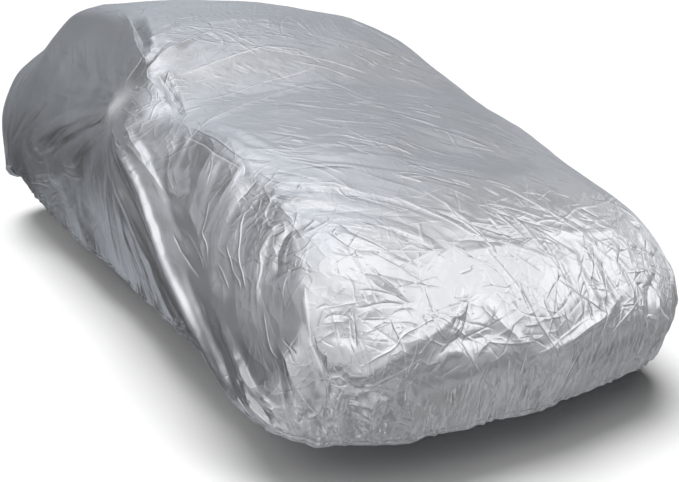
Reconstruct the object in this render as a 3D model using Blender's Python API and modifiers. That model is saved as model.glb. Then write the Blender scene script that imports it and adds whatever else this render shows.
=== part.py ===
"""A fitted car cover in three sewn panels, in the shape in which it hangs.

Run with: blender --background --python part.py

Units are metres and +Z is up. The nose of the cover points along -Y, so its right-hand
side is at -X. Heights in the tables are taken from the ground, and the finished cover is
then moved so that the origin lies just under the crown of the roof, where it is held up.
"""

import math

import bmesh
import bpy
import numpy as np
from mathutils import Vector, noise

# ---------------------------------------------------------------- driving dimensions
THICKNESS = 0.0025      # one layer of coated cloth, with its soft backing
PANEL_GAP = 0.0003      # between the cut edges of two panels
SEAM_REACH = 0.35       # how far the panel cutters run past the cover all round
HEM_TUCK_IN = 0.026     # the elastic edge turns in under the cover by this much
HEM_TUCK_UP = 0.008
ORIGIN_Y = 0.60         # the roof crown is held up here
CLEARANCE = 0.003       # from the origin up to the inner face of the roof

# Half of the cover, from the middle of the nose round one side to the middle of the tail.
# Each row is one line that runs from the centre line of the top, over the shoulder and
# the belt (the widest place), down to the hem. "strips" is the number of cloth strips
# from this row to the next.
COLUMNS = ("spine_y", "crown_z", "shoulder_x", "shoulder_y", "shoulder_z",
           "belt_x", "belt_y", "belt_z", "hem_x", "hem_y", "hem_z", "strips")
SECTIONS = {
    "nose":           (-1.60, 0.93, 0.00, -2.08, 0.73, 0.00, -2.25, 0.45, 0.00, -2.19, 0.18, 8),
    "nose_half":      (-1.58, 0.93, 0.39, -2.03, 0.73, 0.49, -2.22, 0.45, 0.49, -2.15, 0.18, 8),
    "nose_corner":    (-1.52, 0.94, 0.61, -1.88, 0.76, 0.82, -1.97, 0.51, 0.86, -1.98, 0.20, 8),
    "bonnet_front":   (-1.42, 0.98, 0.61, -1.56, 0.88, 0.92, -1.60, 0.56, 0.93, -1.68, 0.27, 8),
    "bonnet":         (-1.15, 1.05, 0.66, -1.13, 1.00, 0.94, -1.25, 0.63, 0.93, -1.23, 0.34, 8),
    "screen_foot":    (-0.85, 1.11, 0.72, -0.78, 1.04, 0.95, -0.80, 0.81, 0.90, -0.86, 0.31, 7),
    "screen":         (-0.45, 1.30, 0.67, -0.44, 1.25, 0.92, -0.45, 0.85, 0.86, -0.50, 0.28, 6),
    "roof_front":     (-0.05, 1.42, 0.58, -0.05, 1.36, 0.90, -0.05, 0.88, 0.85, -0.05, 0.27, 5),
    "roof":           (0.45, 1.46, 0.56, 0.47, 1.41, 0.90, 0.45, 0.88, 0.85, 0.45, 0.27, 5),
    "roof_back":      (0.95, 1.46, 0.56, 0.96, 1.41, 0.90, 0.95, 0.89, 0.87, 0.96, 0.32, 5),
    "rear_slope":     (1.40, 1.33, 0.61, 1.41, 1.22, 0.90, 1.40, 0.86, 0.94, 1.40, 0.49, 5),
    "tail_front":     (1.70, 1.16, 0.69, 1.82, 1.06, 0.86, 1.85, 0.79, 0.89, 1.82, 0.38, 5),
    "tail_corner":    (1.85, 1.12, 0.60, 2.13, 1.02, 0.73, 2.22, 0.71, 0.74, 2.20, 0.25, 4),
    "tail_half":      (1.95, 1.12, 0.31, 2.25, 1.02, 0.37, 2.38, 0.70, 0.37, 2.36, 0.24, 4),
    "tail":           (1.98, 1.12, 0.00, 2.29, 1.03, 0.00, 2.42, 0.70, 0.00, 2.40, 0.24, 0),
}
# Where the rings of the mesh lie: 0 is the centre line, 1 half way out, 2 the shoulder,
# 3 the belt and 4 the hem.
RINGS = (0, 0.5, 1.0, 1.5, 1.8, 2.1, 2.4, 2.7, 3.0, 3.2, 3.4, 3.6, 3.8, 4)
MID_PLAN = 0.55         # the half-way point: this share of the way out to the shoulder,
MID_DROP = 0.28         # and this share of the drop to it

# The seam between the middle panel and a side panel, seen from above, nose to tail.
SEAM = {
    "before_nose": (-2.60, 0.77), "nose_corner": (-2.05, 0.77), "bonnet_front": (-1.80, 0.72),
    "bonnet": (-1.40, 0.64), "bonnet_back": (-1.00, 0.68), "screen_foot": (-0.75, 0.70),
    "screen": (-0.40, 0.65), "roof_front": (0.00, 0.57), "roof": (0.50, 0.54),
    "roof_back": (1.00, 0.55), "rear_slope": (1.40, 0.59), "tail_front": (1.80, 0.65),
    "tail_corner": (2.10, 0.62), "behind_tail": (2.75, 0.62),
}
SEAM_STEPS = 5

# The peak on each side, where the cloth is pushed out and hangs like a tent.
PEAK_Y, PEAK_Z = -0.70, 1.06
PEAK_OUT = {-1: 0.088, 1: 0.055}
PEAK_FORWARD = 0.030
PEAK_REACH = 0.36
PEAK_RAYS, PEAK_RAY_HEIGHT = 11, 0.009

# Main folds. "view" is the view in which the path is drawn: side gives (y, z), top gives
# (x, y) and nose gives (x, z). "half" is -1 for the right-hand half and 1 for the left. A
# negative height is a trough. "finer" is how many times the mesh is refined along the fold.
FOLD_COLUMNS = ("view", "half", "width", "height", "finer", "path")
FOLDS = {
    "long_ridge": ("side", -1, 0.050, 0.044, 2,
                   ((-0.68, 0.98), (-0.92, 0.85), (-1.24, 0.63), (-1.60, 0.43), (-1.94, 0.20))),
    "ridge_trough": ("side", -1, 0.055, -0.022, 1,
                     ((-0.78, 0.82), (-1.04, 0.64), (-1.36, 0.42), (-1.52, 0.30))),
    "ridge_second": ("side", -1, 0.036, 0.016, 1,
                     ((-0.86, 1.00), (-1.06, 0.87), (-1.34, 0.70), (-1.70, 0.50))),
    "fall_1": ("side", -1, 0.038, 0.015, 1, ((-1.16, 0.94), (-1.32, 0.80), (-1.48, 0.66))),
    "fall_2": ("side", -1, 0.038, 0.015, 1, ((-1.36, 0.88), (-1.54, 0.66), (-1.72, 0.40))),
    "fall_3": ("side", -1, 0.036, 0.014, 1, ((-1.60, 0.78), (-1.74, 0.54), (-1.86, 0.28))),
    "stay_1": ("side", -1, 0.050, 0.018, 1,
               ((-0.44, 1.02), (0.10, 0.90), (0.75, 0.72), (1.30, 0.56))),
    "stay_2": ("side", -1, 0.045, 0.015, 1,
               ((-0.46, 0.96), (0.05, 0.76), (0.60, 0.55), (1.20, 0.42))),
    "stay_3": ("side", -1, 0.045, 0.014, 1, ((-0.54, 0.90), (-0.16, 0.62), (0.24, 0.32))),
    "stay_4": ("side", -1, 0.040, 0.013, 1, ((-0.66, 0.86), (-0.56, 0.60), (-0.40, 0.32))),
    "left_ridge": ("side", 1, 0.055, 0.034, 1,
                   ((-0.66, 1.00), (-0.94, 0.82), (-1.24, 0.58), (-1.52, 0.30))),
    "left_fall": ("side", 1, 0.045, 0.015, 1, ((-1.34, 0.88), (-1.56, 0.60), (-1.76, 0.28))),
    "left_stay_1": ("side", 1, 0.055, 0.017, 1, ((-0.44, 1.02), (0.20, 0.86), (1.00, 0.64))),
    "left_stay_2": ("side", 1, 0.050, 0.014, 1, ((-0.60, 0.88), (-0.40, 0.58), (-0.14, 0.30))),
    "pillar": ("top", -1, 0.045, 0.016, 1, ((-0.50, 0.05), (-0.60, -0.32), (-0.68, -0.78))),
    "left_pillar": ("top", 1, 0.050, 0.014, 0, ((0.50, 0.02), (0.61, -0.36), (0.70, -0.82))),
    "corner_crease": ("nose", -1, 0.036, 0.014, 1, ((-0.66, 0.80), (-0.76, 0.64), (-0.80, 0.44))),
    "pleat_1": ("nose", -1, 0.034, 0.022, 1, ((-0.62, 0.42), (-0.69, 0.31), (-0.71, 0.18))),
    "pleat_2": ("nose", -1, 0.030, 0.016, 1, ((-0.54, 0.36), (-0.57, 0.28), (-0.58, 0.18))),
    "nose_crease": ("nose", -1, 0.040, 0.012, 1, ((-0.70, 0.44), (-0.48, 0.54), (-0.28, 0.62))),
    "nose_fall_1": ("nose", -1, 0.045, 0.010, 0, ((-0.36, 0.46), (-0.38, 0.34), (-0.37, 0.20))),
    "nose_fall_2": ("nose", 1, 0.045, 0.010, 0, ((0.12, 0.44), (0.14, 0.32), (0.12, 0.20))),
    "nose_fall_3": ("nose", 1, 0.040, 0.014, 1, ((0.66, 0.58), (0.74, 0.42), (0.76, 0.22))),
}
PATH_STEPS = 6          # points worked out between two path points
REFINE_REACH = 1.8      # the mesh is made finer within this many widths of a fold

# Slack all over, and the gathers along the elastic hem.
SLACK_SIZE, SLACK_HEIGHT = 0.34, 0.007
GATHER_PITCH, GATHER_DEPTH, GATHER_REACH = 0.21, 0.007, 0.14

COLOURS = {"middle": (0.60, 0.61, 0.63), "right": (0.50, 0.51, 0.53), "left": (0.50, 0.51, 0.53)}


# ---------------------------------------------------------------- clean start
def clear_scene():
    for thing in list(bpy.data.objects):
        bpy.data.objects.remove(thing, do_unlink=True)


def new_collection(name):
    collection = bpy.data.collections.new(name)
    bpy.context.scene.collection.children.link(collection)
    return collection


# ---------------------------------------------------------------- smooth curves
def even_slopes(points):
    """Slopes for a soft curve through evenly spaced points."""
    steps = np.diff(points, axis=0)
    slopes = np.zeros_like(points)
    slopes[1:-1] = (steps[:-1] + steps[1:]) / 2
    slopes[0], slopes[-1] = steps[0], steps[-1]
    return slopes


def tame_slopes(points):
    """Slopes for a curve that never swings past its points."""
    steps = np.diff(points, axis=0)
    before, after = steps[:-1], steps[1:]
    same_way = before * after > 0
    total = np.where(same_way, before + after, 1)
    slopes = np.zeros_like(points)
    slopes[1:-1] = np.where(same_way, 2 * before * after / total, 0)
    slopes[0], slopes[-1] = steps[0], steps[-1]
    return slopes


def curve_at(points, slopes, places):
    """The cubic curve through points, read at places given in steps of one point."""
    places = np.asarray(places, dtype=float)
    start = np.minimum(places.astype(int), len(points) - 2)
    t = (places - start).reshape(-1, *([1] * (points.ndim - 1)))
    return ((2 * t**3 - 3 * t**2 + 1) * points[start] + (t**3 - 2 * t**2 + t) * slopes[start]
            + (-2 * t**3 + 3 * t**2) * points[start + 1] + (t**3 - t**2) * slopes[start + 1])


# ---------------------------------------------------------------- the smooth cover
def strip_places():
    """Places along the rows of SECTIONS, one for each line of the mesh."""
    places = []
    for row, values in enumerate(SECTIONS.values()):
        strips = values[COLUMNS.index("strips")]
        places += [row + k / strips for k in range(strips)]
    return places + [len(SECTIONS) - 1]


def half_cover(places):
    """Points of one half of the cover, as [ring][line] rows on the +X side."""
    table = np.array([row[:-1] for row in SECTIONS.values()], dtype=float)
    columns = dict(zip(COLUMNS, curve_at(table, tame_slopes(table), places).T))
    spine = np.stack([0 * columns["spine_y"], columns["spine_y"], columns["crown_z"]], -1)
    shoulder, belt, hem = (
        np.stack([columns[f"{name}_{axis}"] for axis in "xyz"], -1)
        for name in ("shoulder", "belt", "hem")
    )
    shares = np.array([MID_PLAN, MID_PLAN, MID_DROP])
    middle = spine + (shoulder - spine) * shares
    knots = np.stack([spine, middle, shoulder, belt, hem])
    slopes = even_slopes(knots)
    slopes[..., 2] = tame_slopes(knots)[..., 2]
    # The top is level across the centre line, but keeps sloping past the centre line's ends.
    outward = middle - spine
    lengthwise = np.abs(outward[:, 1]) / np.linalg.norm(outward[:, :2], axis=1)
    slopes[0, :, 2] = lengthwise**2 * outward[:, 2]
    return curve_at(knots, slopes, RINGS)


def tucked_edge(rings):
    """One more ring, turned in under the hem by its elastic."""
    hem = rings[-1]
    along = np.gradient(hem, axis=0)
    inward = np.stack([-along[:, 1], along[:, 0], 0 * along[:, 0]], -1)
    inward /= np.linalg.norm(inward, axis=1, keepdims=True)
    edge = hem + HEM_TUCK_IN * inward
    edge[:, 2] += HEM_TUCK_UP
    edge[[0, -1], 0] = 0
    return np.concatenate([rings, edge[None]])


def cover_surface():
    """The smooth outer surface as a bmesh. The left half has every second line only."""
    right = tucked_edge(half_cover(strip_places())) * np.array([-1, 1, 1])
    left = right[:, ::2] * np.array([-1, 1, 1])
    bm = bmesh.new()
    right_rows = [[bm.verts.new(point) for point in ring] for ring in right]
    left_rows = [
        [bm.verts.new(point) for point in ring[1:-1]] for ring in left[1:]
    ]
    left_rows = [
        [right_rows[k + 1][0], *row, right_rows[k + 1][-1]] for k, row in enumerate(left_rows)
    ]
    for upper, lower in zip(right_rows[:-1], right_rows[1:]):
        for k in range(len(upper) - 1):
            bm.faces.new((upper[k], upper[k + 1], lower[k + 1], lower[k]))
    spine = right_rows[0]
    for k in range(len(left_rows[0]) - 1):
        top = left_rows[0]
        bm.faces.new((top[k], top[k + 1], spine[2 * k + 2], spine[2 * k + 1], spine[2 * k]))
    for upper, lower in zip(left_rows[:-1], left_rows[1:]):
        for k in range(len(upper) - 1):
            bm.faces.new((lower[k], lower[k + 1], upper[k + 1], upper[k]))
    bmesh.ops.remove_doubles(bm, verts=bm.verts, dist=1e-5)
    bmesh.ops.recalc_face_normals(bm, faces=bm.faces)
    return bm


# ---------------------------------------------------------------- folds and slack
VIEW_AXES = {"side": (1, 2), "top": (0, 1), "nose": (0, 2)}
VIEW_NORMAL = {"side": 0, "top": 2, "nose": 1}


def fold_paths():
    """Each fold with its path worked out as a smooth line of close points."""
    folds = []
    for row in FOLDS.values():
        fold = dict(zip(FOLD_COLUMNS, row))
        knots = np.array(fold["path"], dtype=float)
        places = np.linspace(0, len(knots) - 1, PATH_STEPS * (len(knots) - 1) + 1)
        fold["line"] = curve_at(knots, even_slopes(knots), places)
        folds.append(fold)
    return folds


def distance_to_line(points, line):
    """Distance from each point to a line of points, and how far along it, 0 to 1."""
    best = np.full(len(points), np.inf)
    along = np.zeros(len(points))
    for k, (start, end) in enumerate(zip(line[:-1], line[1:])):
        step = end - start
        t = np.clip((points - start) @ step / (step @ step), 0, 1)
        gap = np.linalg.norm(points - start - t[:, None] * step, axis=1)
        nearer = gap < best
        best[nearer] = gap[nearer]
        along[nearer] = (k + t[nearer]) / (len(line) - 1)
    return best, along


def faces_view(fold, points, normals):
    """1 where the cloth faces the view that a fold is drawn in, fading to 0 beyond."""
    axis = VIEW_NORMAL[fold["view"]]
    facing = {"side": fold["half"] * normals[:, axis],
              "top": normals[:, axis],
              "nose": -normals[:, axis]}[fold["view"]]
    own_half = points[:, 0] * fold["half"] > -0.05
    return np.clip((facing - 0.10) / 0.35, 0, 1) * own_half


def fold_height(fold, points, normals):
    first, second = VIEW_AXES[fold["view"]]
    gap, along = distance_to_line(points[:, [first, second]], fold["line"])
    across = (gap / fold["width"]) ** 2
    ends = np.clip(np.minimum(along, 1 - along) * 6 + 0.15, 0, 1)
    profile = (1 - 0.7 * across) * np.exp(-across)
    return fold["height"] * profile * ends * faces_view(fold, points, normals)


def refine_near_folds(bm, folds):
    """Halve the mesh's edges close to the folds, which are narrower than its strips."""
    for level in range(max(fold["finer"] for fold in folds)):
        bm.normal_update()
        bm.verts.index_update()
        points = np.array([vert.co for vert in bm.verts])
        normals = np.array([vert.normal for vert in bm.verts])
        close = np.zeros(len(points), dtype=bool)
        for fold in folds:
            if fold["finer"] > level:
                first, second = VIEW_AXES[fold["view"]]
                gap, _ = distance_to_line(points[:, [first, second]], fold["line"])
                reach = REFINE_REACH * fold["width"] / (level + 1)
                close |= (gap < reach) & (faces_view(fold, points, normals) > 0)
        edges = [edge for edge in bm.edges if all(close[vert.index] for vert in edge.verts)]
        bmesh.ops.subdivide_edges(bm, edges=edges, cuts=1, use_grid_fill=True)


def peak_shift(points):
    """How the peak on each side pushes the cloth out, with rays of tension round it."""
    side = np.sign(points[:, 0])
    reach_out = np.where(side < 0, PEAK_OUT[-1], PEAK_OUT[1])
    offset = points[:, 1:] - np.array([PEAK_Y, PEAK_Z])
    gap = np.linalg.norm(offset, axis=1)
    angle = np.arctan2(offset[:, 1], offset[:, 0])
    rise = np.clip(1 - gap / PEAK_REACH, 0, 1) ** 2 * (np.abs(points[:, 0]) > 0.5)
    fade = np.clip(1 - gap / (1.4 * PEAK_REACH), 0, 1) * np.clip(gap / 0.10, 0, 1)
    rays = np.sin(PEAK_RAYS * angle + 1.3 * np.sin(3 * angle)) * fade * PEAK_RAY_HEIGHT
    out = reach_out * rise + rays * (np.abs(points[:, 0]) > 0.5)
    return np.stack([side * out, -PEAK_FORWARD * rise, 0 * out], -1)


def slack_height(points):
    return SLACK_HEIGHT * np.array([noise.noise(Vector(point) / SLACK_SIZE) for point in points])


def gather_height(points):
    """Small uneven gathers that the elastic pulls into the cloth just above the hem."""
    around = np.arctan2(points[:, 1], 2.0 * points[:, 0]) * 2.1
    phase = 2 * math.pi * around / GATHER_PITCH
    wave = np.sin(phase + 1.7 * np.sin(phase / 3.1)) * (0.6 + 0.4 * np.sin(phase / 5.3))
    hem = hem_height(points)
    low = np.clip(1 - (points[:, 2] - hem) / GATHER_REACH, 0, 1)
    return GATHER_DEPTH * wave * low


def hem_height(points):
    """The height of the hem level with each point, along the length of the cover."""
    rows = [dict(zip(COLUMNS, row)) for row in SECTIONS.values()]
    rows = sorted(rows, key=lambda row: row["hem_y"])
    return np.interp(points[:, 1], [r["hem_y"] for r in rows], [r["hem_z"] for r in rows])


def drape(bm, folds):
    """Move every point of the smooth surface to where the cloth really lies."""
    bm.normal_update()
    points = np.array([vert.co for vert in bm.verts])
    normals = np.array([vert.normal for vert in bm.verts])
    height = slack_height(points) + gather_height(points)
    for fold in folds:
        height += fold_height(fold, points, normals)
    points += normals * height[:, None] + peak_shift(points)
    for vert, point in zip(bm.verts, points):
        vert.co = point


# ---------------------------------------------------------------- panels
def seam_line(inset):
    """The seam seen from above, as (x, y) points on the +X side, moved in by inset."""
    knots = np.array([(x, y) for y, x in SEAM.values()], dtype=float)
    places = np.linspace(0, len(knots) - 1, SEAM_STEPS * (len(knots) - 1) + 1)
    line = curve_at(knots, tame_slopes(knots), places)
    return [(x - inset, y) for x, y in line]


def panel_outlines():
    """Each panel's outline seen from above, as a closed list of (x, y) points."""
    inner = seam_line(PANEL_GAP / 2)
    outer = seam_line(-PANEL_GAP / 2)
    reach = max(row[COLUMNS.index("belt_x")] for row in SECTIONS.values()) + SEAM_REACH
    left = [*outer, (reach, outer[-1][1]), (reach, outer[0][1])]
    return {
        "middle": [*inner, *[(-x, y) for x, y in reversed(inner)]],
        "left": left,
        "right": [(-x, y) for x, y in reversed(left)],
    }


def panel_cutter(name, outline, collection):
    """An upright prism over a panel's outline, taller than the cover."""
    height = max(row[COLUMNS.index("crown_z")] for row in SECTIONS.values()) + 2 * SEAM_REACH
    bm = bmesh.new()
    base = bm.faces.new([bm.verts.new((x, y, -SEAM_REACH)) for x, y in outline])
    extruded = bmesh.ops.extrude_face_region(bm, geom=[base])["geom"]
    raised = [part for part in extruded if isinstance(part, bmesh.types.BMVert)]
    bmesh.ops.translate(bm, verts=raised, vec=(0, 0, height))
    bmesh.ops.recalc_face_normals(bm, faces=bm.faces)
    mesh = bpy.data.meshes.new(f"{name}_cutter")
    bm.to_mesh(mesh)
    bm.free()
    cutter = bpy.data.objects.new(f"{name}_cutter", mesh)
    cutter.hide_render = True
    cutter.display_type = "WIRE"
    collection.objects.link(cutter)
    return cutter


def cloth_material(name, colour):
    material = bpy.data.materials.new(f"{name}_cloth")
    material.use_nodes = True
    shader = material.node_tree.nodes["Principled BSDF"]
    shader.inputs["Base Color"].default_value = (*colour, 1)
    shader.inputs["Metallic"].default_value = 0.7
    shader.inputs["Roughness"].default_value = 0.35
    return material


def panel(name, surface, cutter, frame, collection):
    """One panel: the whole cover given its thickness, kept only inside its cutter."""
    mesh = surface.copy()
    mesh.name = f"{name}_panel"
    mesh.materials.append(cloth_material(name, COLOURS[name]))
    piece = bpy.data.objects.new(f"{name}_panel", mesh)
    piece.parent = frame
    collection.objects.link(piece)
    wall = piece.modifiers.new("Cloth", "SOLIDIFY")
    wall.thickness = THICKNESS
    wall.offset = -1
    cut = piece.modifiers.new("Panel", "BOOLEAN")
    cut.operation = "INTERSECT"
    cut.solver = "EXACT"
    cut.object = cutter
    return piece


def main():
    clear_scene()
    cover = new_collection("car_cover")
    cutters = new_collection("cutters")
    folds = fold_paths()
    bm = cover_surface()
    refine_near_folds(bm, folds)
    drape(bm, folds)
    # Both faces of the cloth then have the same triangles, so they can't meet.
    bmesh.ops.triangulate(bm, faces=bm.faces)
    surface = bpy.data.meshes.new("cover_surface")
    bm.to_mesh(surface)
    bm.free()
    surface.shade_smooth()
    crown = max(
        (v.co.z for v in surface.vertices if abs(v.co.x) < 0.01 and abs(v.co.y - ORIGIN_Y) < 0.1)
    )
    frame = bpy.data.objects.new("roof_frame", None)
    frame.location = (0, -ORIGIN_Y, -(crown - THICKNESS - CLEARANCE))
    cover.objects.link(frame)
    for name, outline in panel_outlines().items():
        cutter = panel_cutter(name, outline, cutters)
        cutter.parent = frame
        panel(name, surface, cutter, frame, cover)


main()
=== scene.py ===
# %% [markdown]
# A fitted car cover of aluminium-coated cloth, hanging in the shape of what it covers.
# It is three sewn panels: one long panel over the middle and one down each side. The
# solids give the shape. This script wraps a fine mesh over them, presses the folds and
# creases into it, and gives it its cloth.

import math

import bmesh
import bpy
import numpy as np
from mathutils import Matrix, Vector, noise
from mathutils.bvhtree import BVHTree
from mathutils.kdtree import KDTree


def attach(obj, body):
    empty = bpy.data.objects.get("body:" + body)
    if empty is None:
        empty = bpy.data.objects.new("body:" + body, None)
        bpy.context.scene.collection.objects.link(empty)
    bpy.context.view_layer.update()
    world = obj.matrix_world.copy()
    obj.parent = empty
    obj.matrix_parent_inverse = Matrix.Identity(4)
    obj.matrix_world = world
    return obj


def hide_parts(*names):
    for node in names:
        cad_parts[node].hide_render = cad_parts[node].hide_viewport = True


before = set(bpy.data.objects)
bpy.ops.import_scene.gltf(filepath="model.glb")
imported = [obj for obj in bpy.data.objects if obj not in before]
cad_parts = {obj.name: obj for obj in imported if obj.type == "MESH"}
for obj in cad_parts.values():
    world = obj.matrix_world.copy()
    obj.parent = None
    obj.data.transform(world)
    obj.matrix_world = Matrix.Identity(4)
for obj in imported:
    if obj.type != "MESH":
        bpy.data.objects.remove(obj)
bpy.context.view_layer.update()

# %% [markdown]
# Everything below is worked out in a ground frame, because sizes are easier to think of
# that way: height 0 is the floor, and length 0 is near the middle of the cover. The part's
# own frame has its origin under the crown of the roof, where the cover is held up. So
# one vector leads from one frame to the other.

# %% The two frames
HOLD_POINT = np.array([0.0, 0.60, 1.45537])
FLOOR_Z = -HOLD_POINT[2]


def to_part(points):
    """Ground-frame points in the part's own frame."""
    return np.asarray(points, dtype=float) - HOLD_POINT


print("the floor is at", FLOOR_Z)

# %% [markdown]
# The camera stands about 1.5 m above the floor, off the front right-hand corner, and
# looks down on the cover a little. Its place, turn and focal length were worked out from
# the outline of the cover in the picture. The small shift puts the picture's centre
# where that solution has it.

# %% Camera
CAMERA_PLACE = (-1.94606, -4.02542, 1.48643)
CAMERA_YAW, CAMERA_PITCH, CAMERA_ROLL = 0.549696, 0.274659, 0.005957    # radians
IMAGE_WIDTH, FOCAL_PIXELS = 679, 858.79
CENTRE_OFFSET = (5.343, -2.989)                 # of the lens axis, in pixels
SENSOR_MM = 36

camera_data = bpy.data.cameras.new("camera")
camera_data.sensor_width = SENSOR_MM
camera_data.lens = FOCAL_PIXELS * SENSOR_MM / IMAGE_WIDTH
camera_data.shift_x, camera_data.shift_y = (c / IMAGE_WIDTH for c in CENTRE_OFFSET)
camera = bpy.data.objects.new("camera", camera_data)
turn = (
    Matrix.Rotation(-CAMERA_YAW, 4, "Z")
    @ Matrix.Rotation(math.pi / 2 - CAMERA_PITCH, 4, "X")
    @ Matrix.Rotation(CAMERA_ROLL, 4, "Z")
)
camera.matrix_world = Matrix.Translation(to_part(CAMERA_PLACE)) @ turn
bpy.context.scene.collection.objects.link(camera)
bpy.context.scene.camera = camera
print("camera:", tuple(round(c, 3) for c in camera.location), "lens", round(camera_data.lens, 2))

# %% [markdown]
# Colours are written as the hex values that a picture editor shows, and one function
# turns them into the linear values that the renderer adds up. One more function adds a
# node with its settings and its links, so that a material reads as a short list.


# %% Colour and node helpers
def linear(hex_colour):
    """An sRGB hex colour as linear red, green, blue and alpha."""
    parts = [int(hex_colour[k : k + 2], 16) / 255 for k in (1, 3, 5)]
    return (*[p / 12.92 if p <= 0.04045 else ((p + 0.055) / 1.055) ** 2.4 for p in parts], 1)


def add_node(tree, kind, inputs=None, **settings):
    """Add a node. Each input is a value, or another node's output socket to link from."""
    node = tree.nodes.new(kind)
    for name, value in settings.items():
        setattr(node, name, value)
    for socket, value in (inputs or {}).items():
        if isinstance(value, bpy.types.NodeSocket):
            tree.links.new(value, node.inputs[socket])
        else:
            node.inputs[socket].default_value = value
    return node


print("#808080 in linear light:", round(linear("#808080")[0], 3))

# %% [markdown]
# The studio floor is a pale matt sheet without an edge in view. One flat grid does. It is
# hidden from reflections, because a shiny cloth would mirror a white floor too brightly.

# %% Floor
FLOOR_SIZE = 600            # metres; its far end is lost in the pale world
bm = bmesh.new()
bmesh.ops.create_grid(bm, x_segments=2, y_segments=2, size=FLOOR_SIZE / 2)
bmesh.ops.translate(bm, verts=bm.verts, vec=(0, 0, FLOOR_Z))
floor_mesh = bpy.data.meshes.new("floor")
bm.to_mesh(floor_mesh)
bm.free()
floor = bpy.data.objects.new("floor", floor_mesh)
bpy.context.scene.collection.objects.link(floor)
floor_paint = bpy.data.materials.new("floor_paint")
floor_paint.use_nodes = True
floor_shader = floor_paint.node_tree.nodes["Principled BSDF"]
floor_shader.inputs["Base Color"].default_value = linear("#F4F4F4")
floor_shader.inputs["Roughness"].default_value = 0.9
floor_shader.inputs["Specular IOR Level"].default_value = 0.0
floor_mesh.materials.append(floor_paint)
floor.visible_glossy = False
print("floor:", FLOOR_SIZE, "m across")

# %% [markdown]
# A coated cloth is nearly a mirror that has been roughened, so what matters most is what
# stands around it. The world stands for that, and it shows in reflections only. It starts
# as plain grey by height: bright overhead and darker low down. A colour ramp makes that
# from the height of the direction that a reflection looks in.

# %% Studio world
# Brightness by height above the horizon, in degrees.
BY_HEIGHT = ((-90, 0.24), (-15, 0.27), (8, 0.37), (35, 0.48), (55, 0.69), (70, 0.93), (90, 0.95))

world = bpy.data.worlds.new("studio")
bpy.context.scene.world = world
world.use_nodes = True
world.cycles_visibility.diffuse = False
sky = world.node_tree
sky.nodes.clear()
aim = add_node(sky, "ShaderNodeTexCoord").outputs["Generated"]
upward = add_node(sky, "ShaderNodeSeparateXYZ", {0: aim}).outputs["Z"]
angle = add_node(sky, "ShaderNodeMath", {0: upward}, operation="ARCSINE").outputs[0]
share = add_node(
    sky, "ShaderNodeMapRange",
    {"Value": angle, "From Min": -math.pi / 2, "From Max": math.pi / 2},
)
ramp = add_node(sky, "ShaderNodeValToRGB", {0: share.outputs["Result"]})
stops = ramp.color_ramp.elements
while len(stops) < len(BY_HEIGHT):
    stops.new(0.5)
for stop, (degrees, grey) in zip(stops, BY_HEIGHT):
    stop.position = (degrees + 90) / 180
    stop.color = (grey, grey, grey, 1)
light = ramp.outputs["Color"]
print("brightness by height:", len(BY_HEIGHT), "stops")

# %% [markdown]
# A photographer hangs white soft boxes to put highlights on a shiny thing, and black flags
# to take light away. Here both are round patches of the world. The dot product of two
# directions is the cosine of the angle between them, so a Map Range between two cosines
# gives a round patch with a soft edge. The rows that start with "dark" or "dull" are flags.

# %% Soft boxes and flags
# Compass direction (0 is ahead of the nose, 90 its left), height, half width and edge, all
# in degrees, and brightness added.
SOFT_BOX_COLUMNS = ("compass", "height", "half_width", "edge", "added")
SOFT_BOXES = {
    "front_left_wall": (52, 34, 26, 16, 0.50),
    "left_panel": (105, 0, 13, 8, 0.60),
    "right_strip": (-88, 8, 6, 7, 0.52),
    "overhead_front": (26, 72, 9, 12, 0.19),
    "front_lift": (34, 24, 7, 12, 0.10),
    "near_low": (-56, -2, 22, 18, 0.10),
    "near_low_strip": (-84, -26, 5, 8, 0.26),
    "nose_low_strip": (-4, -16, 5, 8, 0.26),
    "rear_low": (-167, 4, 12, 14, 0.06),
    "near_high": (-136, 38, 6, 12, 0.09),
    "floor_glow_near": (-28, -38, 12, 14, 0.19),
    "floor_glow_front": (20, -52, 18, 16, 0.06),
    "floor_glow_far": (64, -36, 10, 12, 0.10),
    "dark_corner": (-136, 16, 46, 24, -0.26),
    "dark_rear_right": (-158, 45, 14, 14, -0.18),
    "dark_front_low": (25, -25, 40, 30, -0.05),
    "dull_front_right": (-20, 44, 12, 14, -0.20),
    "dull_near_front": (-41, 24, 7, 12, -0.10),
    "dull_front_left": (42, 43, 6, 10, -0.14),
    "dull_far_low": (61, 8, 5, 9, -0.25),
    "dull_left_top": (95, 62, 24, 24, -0.28),
    "dull_rear_left": (140, 34, 14, 14, -0.05),
}


def compass_vector(compass, elevation):
    """A direction from its compass direction and its height, in degrees."""
    compass, elevation = math.radians(compass), math.radians(elevation)
    flat = math.cos(elevation)
    return (flat * math.sin(compass), -flat * math.cos(compass), math.sin(elevation))


for row in SOFT_BOXES.values():
    box = dict(zip(SOFT_BOX_COLUMNS, row))
    toward = add_node(
        sky, "ShaderNodeVectorMath",
        {0: aim, 1: compass_vector(box["compass"], box["height"])}, operation="DOT_PRODUCT",
    ).outputs["Value"]
    edge = [math.cos(math.radians(box["half_width"] + k * box["edge"] / 2)) for k in (1, -1)]
    patch = add_node(
        sky, "ShaderNodeMapRange",
        {"Value": toward, "From Min": edge[0], "From Max": edge[1], "To Max": box["added"]},
        interpolation_type="SMOOTHSTEP",
    ).outputs["Result"]
    light = add_node(sky, "ShaderNodeMath", {0: light, 1: patch}, operation="ADD").outputs[0]
print("soft boxes and flags:", ", ".join(SOFT_BOXES))

# %% [markdown]
# No room is even. Two soft noise patterns make it brighter here and darker there: one all
# round, strongest low down, and one below the horizon, for what stands about on the floor.
# That is where the light and dark streaks in the lower folds come from. Towards the tail
# the light is a little bluer.

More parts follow.
